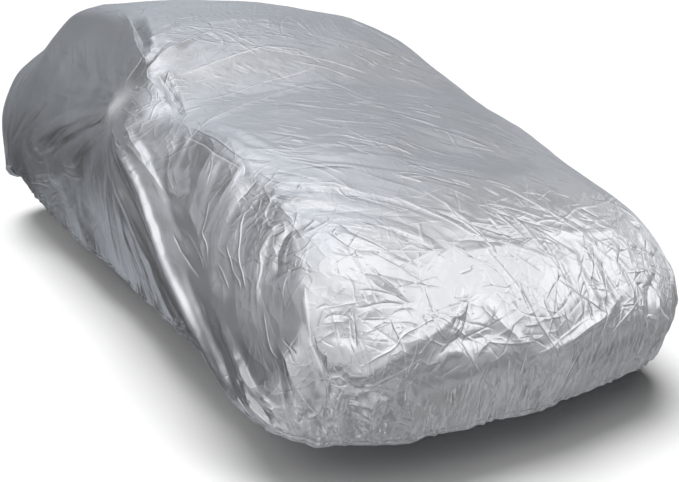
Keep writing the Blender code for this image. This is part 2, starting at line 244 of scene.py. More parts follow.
# %% Uneven light
PATCH_SIZE, PATCH_DEPTH = 0.42, 2.2             # size in radians, depth as a share
CLUTTER_SIZE, CLUTTER_DEPTH = 0.30, 3.0
# Upward part of a direction, from -1 straight down to 1 straight up, at which each fades.
PATCH_FADE, PATCH_LEFT = (0.1, 0.8), 0.25       # and what is left of the patches overhead
CLUTTER_FADE = (-0.25, 0.15)
FRONT_TINT, REAR_TINT = (0.993, 1.000, 1.014), (0.900, 0.970, 1.065)


def uneven(size, depth):
    """A factor around 1 that wanders from one direction to the next."""
    wandering = add_node(
        sky, "ShaderNodeTexNoise", {"Vector": aim, "Scale": 1 / size, "Detail": 1.0}
    ).outputs["Fac"]
    return add_node(
        sky, "ShaderNodeMapRange",
        {"Value": wandering, "To Min": 1 - depth / 2, "To Max": 1 + depth / 2}, clamp=False,
    ).outputs["Result"]


for size, depth, (full, faded), left in (
    (PATCH_SIZE, PATCH_DEPTH, PATCH_FADE, PATCH_LEFT),
    (CLUTTER_SIZE, CLUTTER_DEPTH, CLUTTER_FADE, 0.0),
):
    where = add_node(
        sky, "ShaderNodeMapRange",
        {"Value": upward, "From Min": full, "From Max": faded, "To Min": 1.0, "To Max": left},
    ).outputs["Result"]
    factor = add_node(
        sky, "ShaderNodeMix", {0: where, 2: 1.0, 3: uneven(size, depth)}, data_type="FLOAT"
    ).outputs[0]
    light = add_node(sky, "ShaderNodeMath", {0: light, 1: factor}, operation="MULTIPLY").outputs[0]
behind = add_node(sky, "ShaderNodeSeparateXYZ", {0: aim}).outputs["Y"]
tint = add_node(
    sky, "ShaderNodeMix", {0: behind, 4: FRONT_TINT, 5: REAR_TINT}, data_type="VECTOR"
).outputs[1]
light = add_node(
    sky, "ShaderNodeVectorMath", {0: light, 1: tint}, operation="MULTIPLY"
).outputs[0]
# The camera itself sees the far end of the floor, so there the world is as pale.
seen = add_node(sky, "ShaderNodeLightPath").outputs["Is Camera Ray"]
light = add_node(
    sky, "ShaderNodeMix", {0: seen, 4: light, 5: (1.0, 1.0, 1.0)}, data_type="VECTOR"
).outputs[1]
glow = add_node(sky, "ShaderNodeBackground", {"Color": light, "Strength": 1.0})
add_node(sky, "ShaderNodeOutputWorld", {"Surface": glow.outputs["Background"]})
print("the world has", len(sky.nodes), "nodes")

# %% [markdown]
# The floor is lit by two very wide suns, one high and one from the near side. They give it
# its soft shadow, and they are hidden from reflections, so that the floor can come out
# near white without washing out the cloth.

# %% Suns for the floor
# Direction towards the sun, strength, and width in degrees.
SUNS = {"high_sun": ((-0.10, 0.15, 1.0), 3.0, 40), "near_sun": ((-0.9, -0.5, 1.0), 1.1, 50)}
for name, (toward, strength, wide) in SUNS.items():
    sun_light = bpy.data.lights.new(name, "SUN")
    sun_light.energy = strength
    sun_light.angle = math.radians(wide)
    sun = bpy.data.objects.new(name, sun_light)
    sun.rotation_euler = Vector(toward).to_track_quat("Z", "Y").to_euler()
    sun.visible_glossy = False
    bpy.context.scene.collection.objects.link(sun)
bpy.context.scene.view_settings.view_transform = "Standard"
print("suns:", ", ".join(SUNS))

# %% [markdown]
# The solids are faceted, which shows at once on a shiny cloth. So a fine grid is wrapped
# over them with rays and then relaxed until the facets are gone. The grid has three
# patches, like the cover itself: a ribbon from the nose hem over the top to the tail
# hem, and one patch down each side. They meet on the seams, point for point, so the
# whole cover is one mesh until its folds are in.

# %% The solids as one skin to hit with rays
HALF_LENGTH_REACH = 3.5     # rays start this far from the middle of the cover
WALL_DEPTH = 0.25           # and end this far from it, before they can hit the far wall

skin = bmesh.new()
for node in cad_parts.values():
    skin.from_mesh(node.data)
bmesh.ops.remove_doubles(skin, verts=skin.verts, dist=1e-5)
bmesh.ops.translate(skin, verts=skin.verts, vec=HOLD_POINT)
solids = BVHTree.FromBMesh(skin)
skin.free()


def hit_from_outside(tree, centre, direction):
    """Where a ray from outside, aimed at centre against direction, meets the cover."""
    direction = Vector(direction).normalized()
    start = Vector(centre) + HALF_LENGTH_REACH * direction
    return tree.ray_cast(start, -direction, HALF_LENGTH_REACH - WALL_DEPTH)[0]


print("the solids as one skin, ready for rays")

# %% [markdown]
# Seams and folds are long smooth curves. A few points with a soft curve through them are
# easier to draw and to change than a long list, so one helper makes the curve, and one
# more puts points along it at even steps.


# %% Smooth lines through a few points
def smooth_line(knots, places):
    """A soft cubic curve through knots, read at places given in steps of one knot."""
    knots = np.asarray(knots, dtype=float)
    slopes = np.gradient(knots, axis=0)
    places = np.asarray(places, dtype=float)
    start = np.minimum(places.astype(int), len(knots) - 2)
    t = (places - start)[:, None]
    return (
        (2 * t**3 - 3 * t**2 + 1) * knots[start]
        + (t**3 - 2 * t**2 + t) * slopes[start]
        + (3 * t**2 - 2 * t**3) * knots[start + 1]
        + (t**3 - t**2) * slopes[start + 1]
    )


def spread_along(points, shares):
    """Points at these shares of the length of a line of points."""
    lengths = np.r_[0, np.cumsum(np.linalg.norm(np.diff(points, axis=0), axis=1))]
    wanted = np.asarray(shares) * lengths[-1]
    return np.stack([np.interp(wanted, lengths, points[:, k]) for k in range(3)], -1)


print("half way up a smooth bend:", smooth_line([(0, 0), (1, 2), (3, 2)], [0.5])[0])

# %% [markdown]
# The ribbon over the middle. Rays fan out from a line inside the cover, from the nose
# hem over the roof to the tail hem. How wide the ribbon is at each place comes from the
# seam's line, seen from above. The rows are closer together on the nose, the bonnet and
# the screen, where the finest creases are.

# %% Ribbon over the middle
SEAM = (
    (-2.60, 0.77), (-2.05, 0.77), (-1.80, 0.72), (-1.40, 0.64), (-1.00, 0.68), (-0.75, 0.70),
    (-0.40, 0.65), (0.00, 0.57), (0.50, 0.54), (1.00, 0.55), (1.40, 0.59), (1.80, 0.65),
    (2.10, 0.62), (2.75, 0.62),
)
SEAM_INSET = 0.001                         # so that no ray slips between two panels
FAN_CENTRE = (0.10, 0.40)                  # length and height of the line the rays fan from
FAN_FROM, FAN_TO, FAN_STEPS = -12, 192, 1500
COLUMNS_ACROSS = 104
ROWS_DOWN = 84                             # rows on the nose, and again on the tail
ROWS_ALONG = 290                           # rows over the top
NOSE_LENGTH, TAIL_LENGTH = 0.60, 0.85      # cloth length of the nose and tail parts
FRONT_SHARE, REAR_COARSER = 0.62, 2.6      # rows over the rear of the top are wider apart

seam_line = smooth_line(SEAM, np.linspace(0, len(SEAM) - 1, 300))


def seam_x(y):
    return np.interp(y, seam_line[:, 0], seam_line[:, 1]) - SEAM_INSET


def ribbon_shares(length):
    """Where the rows of the ribbon lie, as shares of a column's length."""
    nose = np.linspace(0, NOSE_LENGTH, ROWS_DOWN + 1)
    tail = length - np.linspace(TAIL_LENGTH, 0, ROWS_DOWN + 1)
    steps = 1 + (REAR_COARSER - 1) * np.clip(
        (np.linspace(0, 1, ROWS_ALONG) - FRONT_SHARE) / 0.15, 0, 1
    )
    top = np.cumsum(steps) / steps.sum() * (tail[0] - nose[-1]) + nose[-1]
    return np.concatenate([nose, top, tail[1:]]) / length


def ribbon_column(across):
    """One line of the ribbon from the nose hem to the tail hem; across is -1 to 1."""
    points, y = [], -2.2
    for angle in np.radians(np.linspace(FAN_FROM, FAN_TO, FAN_STEPS)):
        centre = (across * seam_x(y), *FAN_CENTRE)
        hit = hit_from_outside(solids, centre, (0, -math.cos(angle), math.sin(angle)))
        if hit is not None:
            points.append(hit[:])
            y = hit.y
    points = np.array(points)
    length = np.linalg.norm(np.diff(points, axis=0), axis=1).sum()
    return spread_along(points, ribbon_shares(length))


ribbon = np.stack([ribbon_column(a) for a in np.linspace(-1, 1, COLUMNS_ACROSS + 1)], 1)
print("ribbon:", ribbon.shape, "from", ribbon[0, 52].round(3), "to", ribbon[-1, 52].round(3))

# %% [markdown]
# A side patch has four edges: the seam along the top, the seam where it turns down at
# the nose, the same at the tail, and the hem. The hem is found by lowering a ray until
# it misses the cloth. The inside of the patch is first blended from its four edges, and
# each point is then moved out onto the solid.

# %% Side patches
FRONT_TURN, REAR_TURN = -1.2, 1.5          # rays fan round these places beyond them
TURN_RADIUS = 0.9
HEM_SAMPLES, HEM_HALVINGS = 500, 9
HEM_TOP, HEM_BOTTOM = 0.62, 0.08           # the hem is somewhere between these heights


def plan_ray(station, side):
    """A level ray's centre and direction for a station along one side."""
    if station < FRONT_TURN:
        angle = (FRONT_TURN - station) / TURN_RADIUS
        return FRONT_TURN, (side * math.cos(angle), -math.sin(angle), 0)
    if station > REAR_TURN:
        angle = (station - REAR_TURN) / TURN_RADIUS
        return REAR_TURN, (side * math.cos(angle), math.sin(angle), 0)
    return station, (side, 0, 0)


def station_of(point):
    """The station along a side that a point belongs to."""
    x, y = abs(point[0]), point[1]
    if y < FRONT_TURN:
        return FRONT_TURN - TURN_RADIUS * math.atan2(FRONT_TURN - y, x)
    if y > REAR_TURN:
        return REAR_TURN + TURN_RADIUS * math.atan2(y - REAR_TURN, x)
    return y


def level_hit(point_or_station, z, side):
    y, direction = plan_ray(point_or_station, side)
    return hit_from_outside(solids, (0, y, z), direction)


def hem_line(front, rear, side):
    """The hem from the front corner to the rear corner of one side."""
    points = []
    for station in np.linspace(station_of(front), station_of(rear), HEM_SAMPLES):
        high, low = HEM_TOP, HEM_BOTTOM
        for _ in range(HEM_HALVINGS):
            middle = (high + low) / 2
            if level_hit(station, middle, side) is None:
                low = middle
            else:
                high = middle
        points.append(level_hit(station, high, side)[:])
    points[0], points[-1] = front, rear
    return spread_along(np.array(points), np.linspace(0, 1, ROWS_ALONG + 1))


def side_patch(side):
    """Points of one side patch, as rows from the seam down to the hem."""
    seam = ribbon[:, -1 if side > 0 else 0]
    top = seam[ROWS_DOWN : ROWS_DOWN + ROWS_ALONG + 1]
    front, rear = seam[ROWS_DOWN::-1], seam[ROWS_DOWN + ROWS_ALONG :]
    hem = hem_line(seam[0], seam[-1], side)
    down = np.linspace(0, 1, ROWS_DOWN + 1)[:, None, None]
    along = np.linspace(0, 1, ROWS_ALONG + 1)[None, :, None]
    patch = (
        (1 - down) * top + down * hem
        + (1 - along) * front[:, None] + along * rear[:, None]
        - (1 - down) * ((1 - along) * top[0] + along * top[-1])
        - down * ((1 - along) * hem[0] + along * hem[-1])
    )
    for row in patch[1:-1]:
        for k in range(1, ROWS_ALONG):
            hit = level_hit(station_of(row[k]), row[k][2], side)
            if hit is not None:
                row[k] = hit[:]
    return patch


patches = {"middle": ribbon, "right": side_patch(-1), "left": side_patch(1)}
print("side patches:", patches["right"].shape)

# %% [markdown]
# The patches become one mesh. Each starts as a bmesh grid, its points are put where the
# rays landed, and the doubles along the seams are merged. Relaxing then takes the facets
# out: every point moves half way to the middle of its neighbours, many times over. The
# hem has neighbours on one side only, so it is evened out along its own length instead
# and held still.

# %% One mesh of the whole cover
PANELS = ("middle", "right", "left")
RELAX_ROUNDS, LAST_ROUNDS = 36, 4            # of the whole mesh: before and after it is refined
HEM_ROUNDS = 60
# Where the long folds of the near side are, the mesh is made twice as fine.
FINER_WINDOW = ((-1.2, -1.86, 0.24), (-0.5, -0.62, 0.99))

cover = bmesh.new()
for number, name in enumerate(PANELS):
    points = patches[name]
    count = len(cover.verts)
    bmesh.ops.create_grid(
        cover, x_segments=points.shape[1] - 1, y_segments=points.shape[0] - 1, size=1
    )
    cover.verts.ensure_lookup_table()
    for vert, point in zip(cover.verts[count:], points.reshape(-1, 3)):
        vert.co = point
    cover.faces.ensure_lookup_table()
    made = (points.shape[0] - 1) * (points.shape[1] - 1)
    for face in cover.faces[len(cover.faces) - made :]:
        face.material_index = number
bmesh.ops.remove_doubles(cover, verts=cover.verts, dist=1e-5)
bmesh.ops.recalc_face_normals(cover, faces=cover.faces)
cover.normal_update()
top_face = max(cover.faces, key=lambda f: f.calc_center_median().z)
if top_face.normal.z < 0:
    bmesh.ops.reverse_faces(cover, faces=cover.faces)

hem_verts = [v for v in cover.verts if v.is_boundary]
hem_pairs = {v: [e.other_vert(v) for e in v.link_edges if e.is_boundary] for v in hem_verts}
for _ in range(HEM_ROUNDS):
    moved = {
        v: (v.co * 2 + pair[0].co + pair[1].co) / 4 for v, pair in hem_pairs.items()
    }
    for v, co in moved.items():
        v.co = co
inner_verts = [v for v in cover.verts if not v.is_boundary]
for _ in range(RELAX_ROUNDS):
    bmesh.ops.smooth_vert(
        cover, verts=inner_verts, factor=0.5, use_axis_x=True, use_axis_y=True, use_axis_z=True
    )
window = [
    e for e in cover.edges
    if all(
        low < c < high for v in e.verts
        for c, low, high in zip(v.co, *FINER_WINDOW)
    ) and not any(f.material_index != 1 for f in e.link_faces) and not e.is_boundary
]
bmesh.ops.subdivide_edges(cover, edges=window, cuts=1, use_grid_fill=True)
inner_verts = [v for v in cover.verts if not v.is_boundary]
for _ in range(LAST_ROUNDS):
    bmesh.ops.smooth_vert(
        cover, verts=inner_verts, factor=0.5, use_axis_x=True, use_axis_y=True, use_axis_z=True
    )
cover.normal_update()
print("whole cover:", len(cover.verts), "points,", len(hem_verts), "on the hem")

# %% [markdown]
# The creases. On the real cover they are where a stiff coated cloth has been pulled over
# corners, or folded in its bag. Each is drawn as a line in one view: from the
# side, from above, from the nose or from the tail. A ray brings every point of the line
# onto the cover, so a crease keeps its real width on any slope. A crease is a soft rise or
# trough along its line. Each row has its width and height in millimetres, how sharp its
# crest is ("crisp"), how much steeper one flank is than the other ("lean"), and its path.
# The near side has the longest folds: they hang from the peak like the folds of a tent.

# %% Creases of the near side
NEAR_SIDE = (
    # The long fold from the peak to the hem, its valley behind, and the folds beside it.
    (20, 5, 0.7, 0.0, ((-0.60, 1.02), (-0.68, 0.95), (-0.80, 0.90), (-0.92, 0.845))),
    (19, 17, 0.5, 0.0, ((-0.66, 0.98), (-0.84, 0.885), (-1.00, 0.80), (-1.15, 0.70), (-1.30, 0.605),
                        (-1.50, 0.50), (-1.67, 0.37), (-1.80, 0.27), (-1.93, 0.19))),
    (30, -12, 0.0, 0.0, ((-0.62, 0.93), (-0.80, 0.79), (-0.98, 0.68), (-1.16, 0.56),
                         (-1.36, 0.43), (-1.52, 0.32), (-1.62, 0.24))),
    (24, 7, 0.4, 0.3, ((-0.66, 0.84), (-0.84, 0.70), (-1.04, 0.55), (-1.22, 0.42), (-1.36, 0.31))),
    (20, -6.3, 0.2, 0.0, ((-1.42, 0.60), (-1.58, 0.50), (-1.72, 0.40), (-1.84, 0.28))),
    (20, 8.4, 0.6, 0.0, ((-1.66, 0.52), (-1.74, 0.455), (-1.80, 0.40), (-1.86, 0.31), (-1.95, 0.19))),
    (16, 4, 0.8, 0.2, ((-0.68, 1.01), (-0.76, 0.97), (-0.84, 0.93), (-1.00, 0.86), (-1.16, 0.78))),
    (18, -3, 0.3, 0.0, ((-0.80, 0.98), (-0.93, 0.92), (-1.06, 0.84), (-1.22, 0.74), (-1.36, 0.66))),
    (20, 2.4, 0.6, -0.2, ((-0.90, 0.97), (-1.00, 0.93), (-1.08, 0.86), (-1.14, 0.81),
                         (-1.28, 0.77), (-1.44, 0.68), (-1.60, 0.56))),
    (22, 2.0, 0.3, 0.0, ((-0.98, 1.00), (-1.04, 0.95), (-1.08, 0.89), (-1.15, 0.83))),
    (20, -2.3, 0.2, 0.0, ((-1.06, 0.99), (-1.13, 0.92), (-1.20, 0.85), (-1.30, 0.76))),
    (22, 2.3, 0.5, 0.1, ((-1.16, 0.97), (-1.22, 0.91), (-1.28, 0.79), (-1.36, 0.72))),
    (16, -1.6, 0.3, 0.0, ((-1.26, 0.94), (-1.31, 0.86), (-1.36, 0.77), (-1.46, 0.66))),
    (18, 1.8, 0.5, 0.2, ((-1.34, 0.92), (-1.38, 0.86), (-1.43, 0.70), (-1.50, 0.61))),
    (22, -1.8, 0.1, 0.0, ((-1.44, 0.88), (-1.48, 0.78), (-1.55, 0.66), (-1.64, 0.56))),
    (15, 1.4, 0.7, 0.0, ((-1.50, 0.80), (-1.57, 0.70), (-1.66, 0.62), (-1.78, 0.50), (-1.88, 0.40))),
    (14, 1.4, 0.8, 0.0, ((-1.74, 0.78), (-1.70, 0.70), (-1.75, 0.60), (-1.84, 0.50), (-1.93, 0.36))),
    (13, -1.2, 0.6, 0.0, ((-1.62, 0.80), (-1.63, 0.72), (-1.70, 0.60), (-1.80, 0.46), (-1.90, 0.30))),
    (12, 1.2, 0.8, 0.0, ((-1.84, 0.70), (-1.90, 0.62), (-1.98, 0.55), (-2.03, 0.45), (-2.08, 0.37))),
    (13, -1.2, 0.6, 0.0, ((-1.80, 0.66), (-1.88, 0.54), (-1.95, 0.42), (-1.99, 0.28))),
    (11, 1.0, 0.8, 0.0, ((-1.76, 0.56), (-1.84, 0.46), (-1.90, 0.34), (-1.93, 0.24))),
    # The tension lines from the peak back and down over the long side.
    (20, -4.4, 0.5, 0.0, ((-0.52, 0.995), (-0.35, 0.95), (-0.10, 0.87), (0.22, 0.77),
                        (0.55, 0.66), (0.80, 0.58))),
    (22, 4.4, 0.5, 0.2, ((-0.40, 0.985), (-0.30, 0.965), (0.00, 0.87), (0.35, 0.76), (0.62, 0.68))),
    (17, 3.4, 0.6, 0.0, ((-0.44, 1.015), (-0.38, 1.00), (0.08, 0.92), (0.38, 0.83),
                       (0.75, 0.70), (1.05, 0.60))),
    (20, 3.9, 0.4, 0.0, ((-0.49, 1.04), (-0.11, 0.95), (0.25, 0.85), (0.60, 0.74), (0.98, 0.61))),
    (18, -3.4, 0.3, 0.0, ((-0.30, 1.02), (0.10, 0.96), (0.50, 0.86), (0.90, 0.72), (1.20, 0.58))),
    (26, 3.9, 0.2, 0.0, ((-0.20, 1.09), (0.20, 1.05), (0.60, 0.95), (1.00, 0.78), (1.32, 0.60))),
    (20, -2.9, 0.2, 0.0, ((0.00, 1.13), (0.40, 1.06), (0.80, 0.92), (1.10, 0.76), (1.34, 0.62))),
    (16, 2.9, 0.6, 0.0, ((-0.14, 1.08), (-0.22, 1.085), (-0.40, 1.045), (-0.52, 1.05))),
    (15, -2.9, 0.6, 0.0, ((-0.34, 1.10), (-0.46, 1.09), (-0.58, 1.08))),
    (24, 3.1, 0.3, 0.2, ((-0.48, 0.93), (-0.20, 0.81), (0.10, 0.69), (0.40, 0.58), (0.70, 0.50))),
    (26, -3.5, 0.2, 0.0, ((-0.52, 0.88), (-0.25, 0.74), (0.02, 0.61), (0.30, 0.48), (0.50, 0.40))),
    (20, 2.8, 0.5, 0.0, ((-0.56, 0.84), (-0.36, 0.68), (-0.16, 0.54), (0.06, 0.40), (0.20, 0.31))),
    (18, -2.5, 0.4, 0.0, ((-0.60, 0.80), (-0.48, 0.64), (-0.34, 0.49), (-0.20, 0.34))),
    (15, 2.5, 0.7, 0.0, ((-0.60, 0.76), (-0.55, 0.60), (-0.50, 0.46), (-0.46, 0.32))),
    (14, -2.1, 0.6, 0.0, ((-0.68, 0.72), (-0.65, 0.58), (-0.62, 0.44), (-0.60, 0.32))),
    (16, 2.5, 0.6, 0.0, ((-0.76, 0.66), (-0.78, 0.54), (-0.82, 0.42), (-0.84, 0.33))),
    (18, -2.5, 0.3, 0.0, ((-0.90, 0.58), (-0.98, 0.47), (-1.04, 0.38), (-1.08, 0.33))),
    # The peak, and the folds that run out from it.
    (50, 11, 0.0, 0.0, ((-0.42, 1.02), (-0.52, 1.015), (-0.62, 1.00))),
    (18, -7, 0.6, 0.0, ((-0.62, 1.05), (-0.69, 1.04), (-0.76, 1.03))),
    (18, 4, 0.7, 0.0, ((-0.68, 1.02), (-0.78, 0.97), (-0.89, 0.92), (-0.96, 0.88))),
    (18, 6, 0.6, 0.0, ((-0.24, 1.09), (-0.43, 1.08), (-0.54, 1.06))),
    (18, -9, 0.4, 0.0, ((0.12, 1.38), (-0.09, 1.33), (-0.27, 1.29), (-0.38, 1.25))),
    (18, 8, 0.6, 0.0, ((0.26, 1.40), (0.01, 1.35), (-0.21, 1.29), (-0.40, 1.24), (-0.51, 1.20))),
    # Ahead of where the hem first rises, down to the near corner.
    (18, 7, 0.6, 0.0, ((-1.80, 0.41), (-1.84, 0.36), (-1.89, 0.32), (-1.94, 0.29), (-1.97, 0.25))),
    (18, -8, 0.6, 0.0, ((-1.81, 0.37), (-1.83, 0.34), (-1.88, 0.30), (-1.94, 0.25))),
    (18, 6, 0.6, 0.0, ((-1.92, 0.50), (-1.96, 0.46), (-1.99, 0.41), (-2.02, 0.36),
                       (-2.05, 0.30), (-2.07, 0.23))),
    (18, -6, 0.6, 0.0, ((-1.95, 0.41), (-1.97, 0.34), (-1.99, 0.26), (-2.01, 0.21))),
    # Over the roof's corner and down to the peak.
    (26, 6.3, 0.3, 0.0, ((-0.10, 1.35), (-0.24, 1.26), (-0.36, 1.19), (-0.47, 1.13))),
    (20, -5.6, 0.3, 0.0, ((0.02, 1.33), (-0.12, 1.24), (-0.26, 1.16), (-0.40, 1.11))),
    (18, 4.9, 0.5, 0.0, ((0.14, 1.31), (0.00, 1.22), (-0.14, 1.15), (-0.28, 1.11))),
    (20, -4.2, 0.2, 0.0, ((0.34, 1.29), (0.16, 1.20), (0.00, 1.13), (-0.16, 1.10))),
    (24, 4.2, 0.3, 0.0, ((0.62, 1.30), (0.40, 1.22), (0.18, 1.15), (0.00, 1.11))),
    (24, -3.5, 0.1, 0.0, ((1.00, 1.28), (0.76, 1.20), (0.50, 1.13), (0.26, 1.08))),
    # The rear end of the side, above the high hem and round to the tail.
    (28, 6.3, 0.2, 0.0, ((1.36, 1.12), (1.40, 0.96), (1.41, 0.80), (1.42, 0.60), (1.42, 0.50))),
    (22, -5.6, 0.2, 0.0, ((1.12, 1.14), (1.24, 0.98), (1.32, 0.80), (1.36, 0.62))),
    (22, 5.6, 0.3, 0.0, ((1.70, 1.05), (1.62, 0.88), (1.56, 0.72), (1.52, 0.56))),
    (22, -5.6, 0.2, 0.0, ((1.88, 0.98), (1.78, 0.80), (1.70, 0.62), (1.66, 0.48))),
    (18, 4.9, 0.5, 0.0, ((2.00, 0.86), (1.92, 0.66), (1.88, 0.50), (1.86, 0.38))),
)
print("near side:", len(NEAR_SIDE), "creases")

# %% [markdown]
# The far side doesn't show in the picture. It is cut like the near one, so it has the same
# kind of folds from its own peak, but they don't fall alike on both sides of a cover.

# %% Creases of the far side
FAR_SIDE = (
    (22, 20, 0.5, 0.0, ((-0.66, 1.00), (-0.84, 0.88), (-1.08, 0.70), (-1.30, 0.50), (-1.50, 0.30))),
    (30, -12, 0.0, 0.0, ((-0.58, 0.92), (-0.76, 0.76), (-0.98, 0.58), (-1.18, 0.40))),
    (22, 12, 0.5, 0.0, ((-0.84, 1.00), (-1.06, 0.86), (-1.30, 0.68), (-1.54, 0.46))),
    (22, -10, 0.2, 0.0, ((-1.04, 0.98), (-1.26, 0.80), (-1.48, 0.60), (-1.66, 0.40))),
    (22, 12, 0.4, 0.0, ((-1.20, 0.96), (-1.42, 0.74), (-1.60, 0.52), (-1.74, 0.30))),
    (18, -8, 0.3, 0.0, ((-1.44, 0.88), (-1.62, 0.64), (-1.76, 0.42), (-1.84, 0.26))),
    (18, 9, 0.5, 0.0, ((-1.60, 0.84), (-1.76, 0.60), (-1.88, 0.40), (-1.94, 0.22))),
    (22, -10, 0.4, 0.0, ((-0.50, 1.00), (-0.10, 0.90), (0.40, 0.76), (0.90, 0.60))),
    (22, 10, 0.4, 0.0, ((-0.44, 1.03), (0.10, 0.94), (0.60, 0.80), (1.10, 0.62))),
    (24, 8, 0.2, 0.0, ((-0.30, 1.08), (0.30, 1.03), (0.80, 0.88), (1.26, 0.64))),
    (22, -7, 0.2, 0.0, ((-0.10, 1.12), (0.46, 1.04), (0.90, 0.84), (1.30, 0.58))),
    (24, 9, 0.3, 0.0, ((-0.50, 0.92), (-0.16, 0.76), (0.20, 0.60), (0.56, 0.44))),
    (22, -9, 0.2, 0.0, ((-0.56, 0.84), (-0.30, 0.64), (-0.06, 0.46), (0.14, 0.30))),
    (18, 8, 0.5, 0.0, ((-0.62, 0.78), (-0.50, 0.58), (-0.38, 0.40), (-0.30, 0.30))),
    (16, -7, 0.4, 0.0, ((-0.72, 0.70), (-0.68, 0.54), (-0.66, 0.36))),
    (24, 8, 0.3, 0.0, ((-0.08, 1.34), (-0.24, 1.24), (-0.42, 1.14))),
    (22, -7, 0.2, 0.0, ((0.20, 1.32), (0.02, 1.22), (-0.20, 1.12))),
    (22, 6, 0.2, 0.0, ((0.60, 1.31), (0.36, 1.21), (0.10, 1.13))),
    (26, 9, 0.2, 0.0, ((1.38, 1.12), (1.42, 0.90), (1.42, 0.70), (1.42, 0.50))),
    (22, -8, 0.2, 0.0, ((1.62, 1.06), (1.60, 0.86), (1.56, 0.66), (1.54, 0.52))),
    (20, 8, 0.4, 0.0, ((1.90, 0.96), (1.80, 0.74), (1.74, 0.52), (1.72, 0.42))),
)
print("far side:", len(FAR_SIDE), "creases")

# %% [markdown]
# Seen from above: the folds round the front corner of the roof, low swells over the
# screen, the long slanting folds of the bonnet, and shallow ones along the roof.

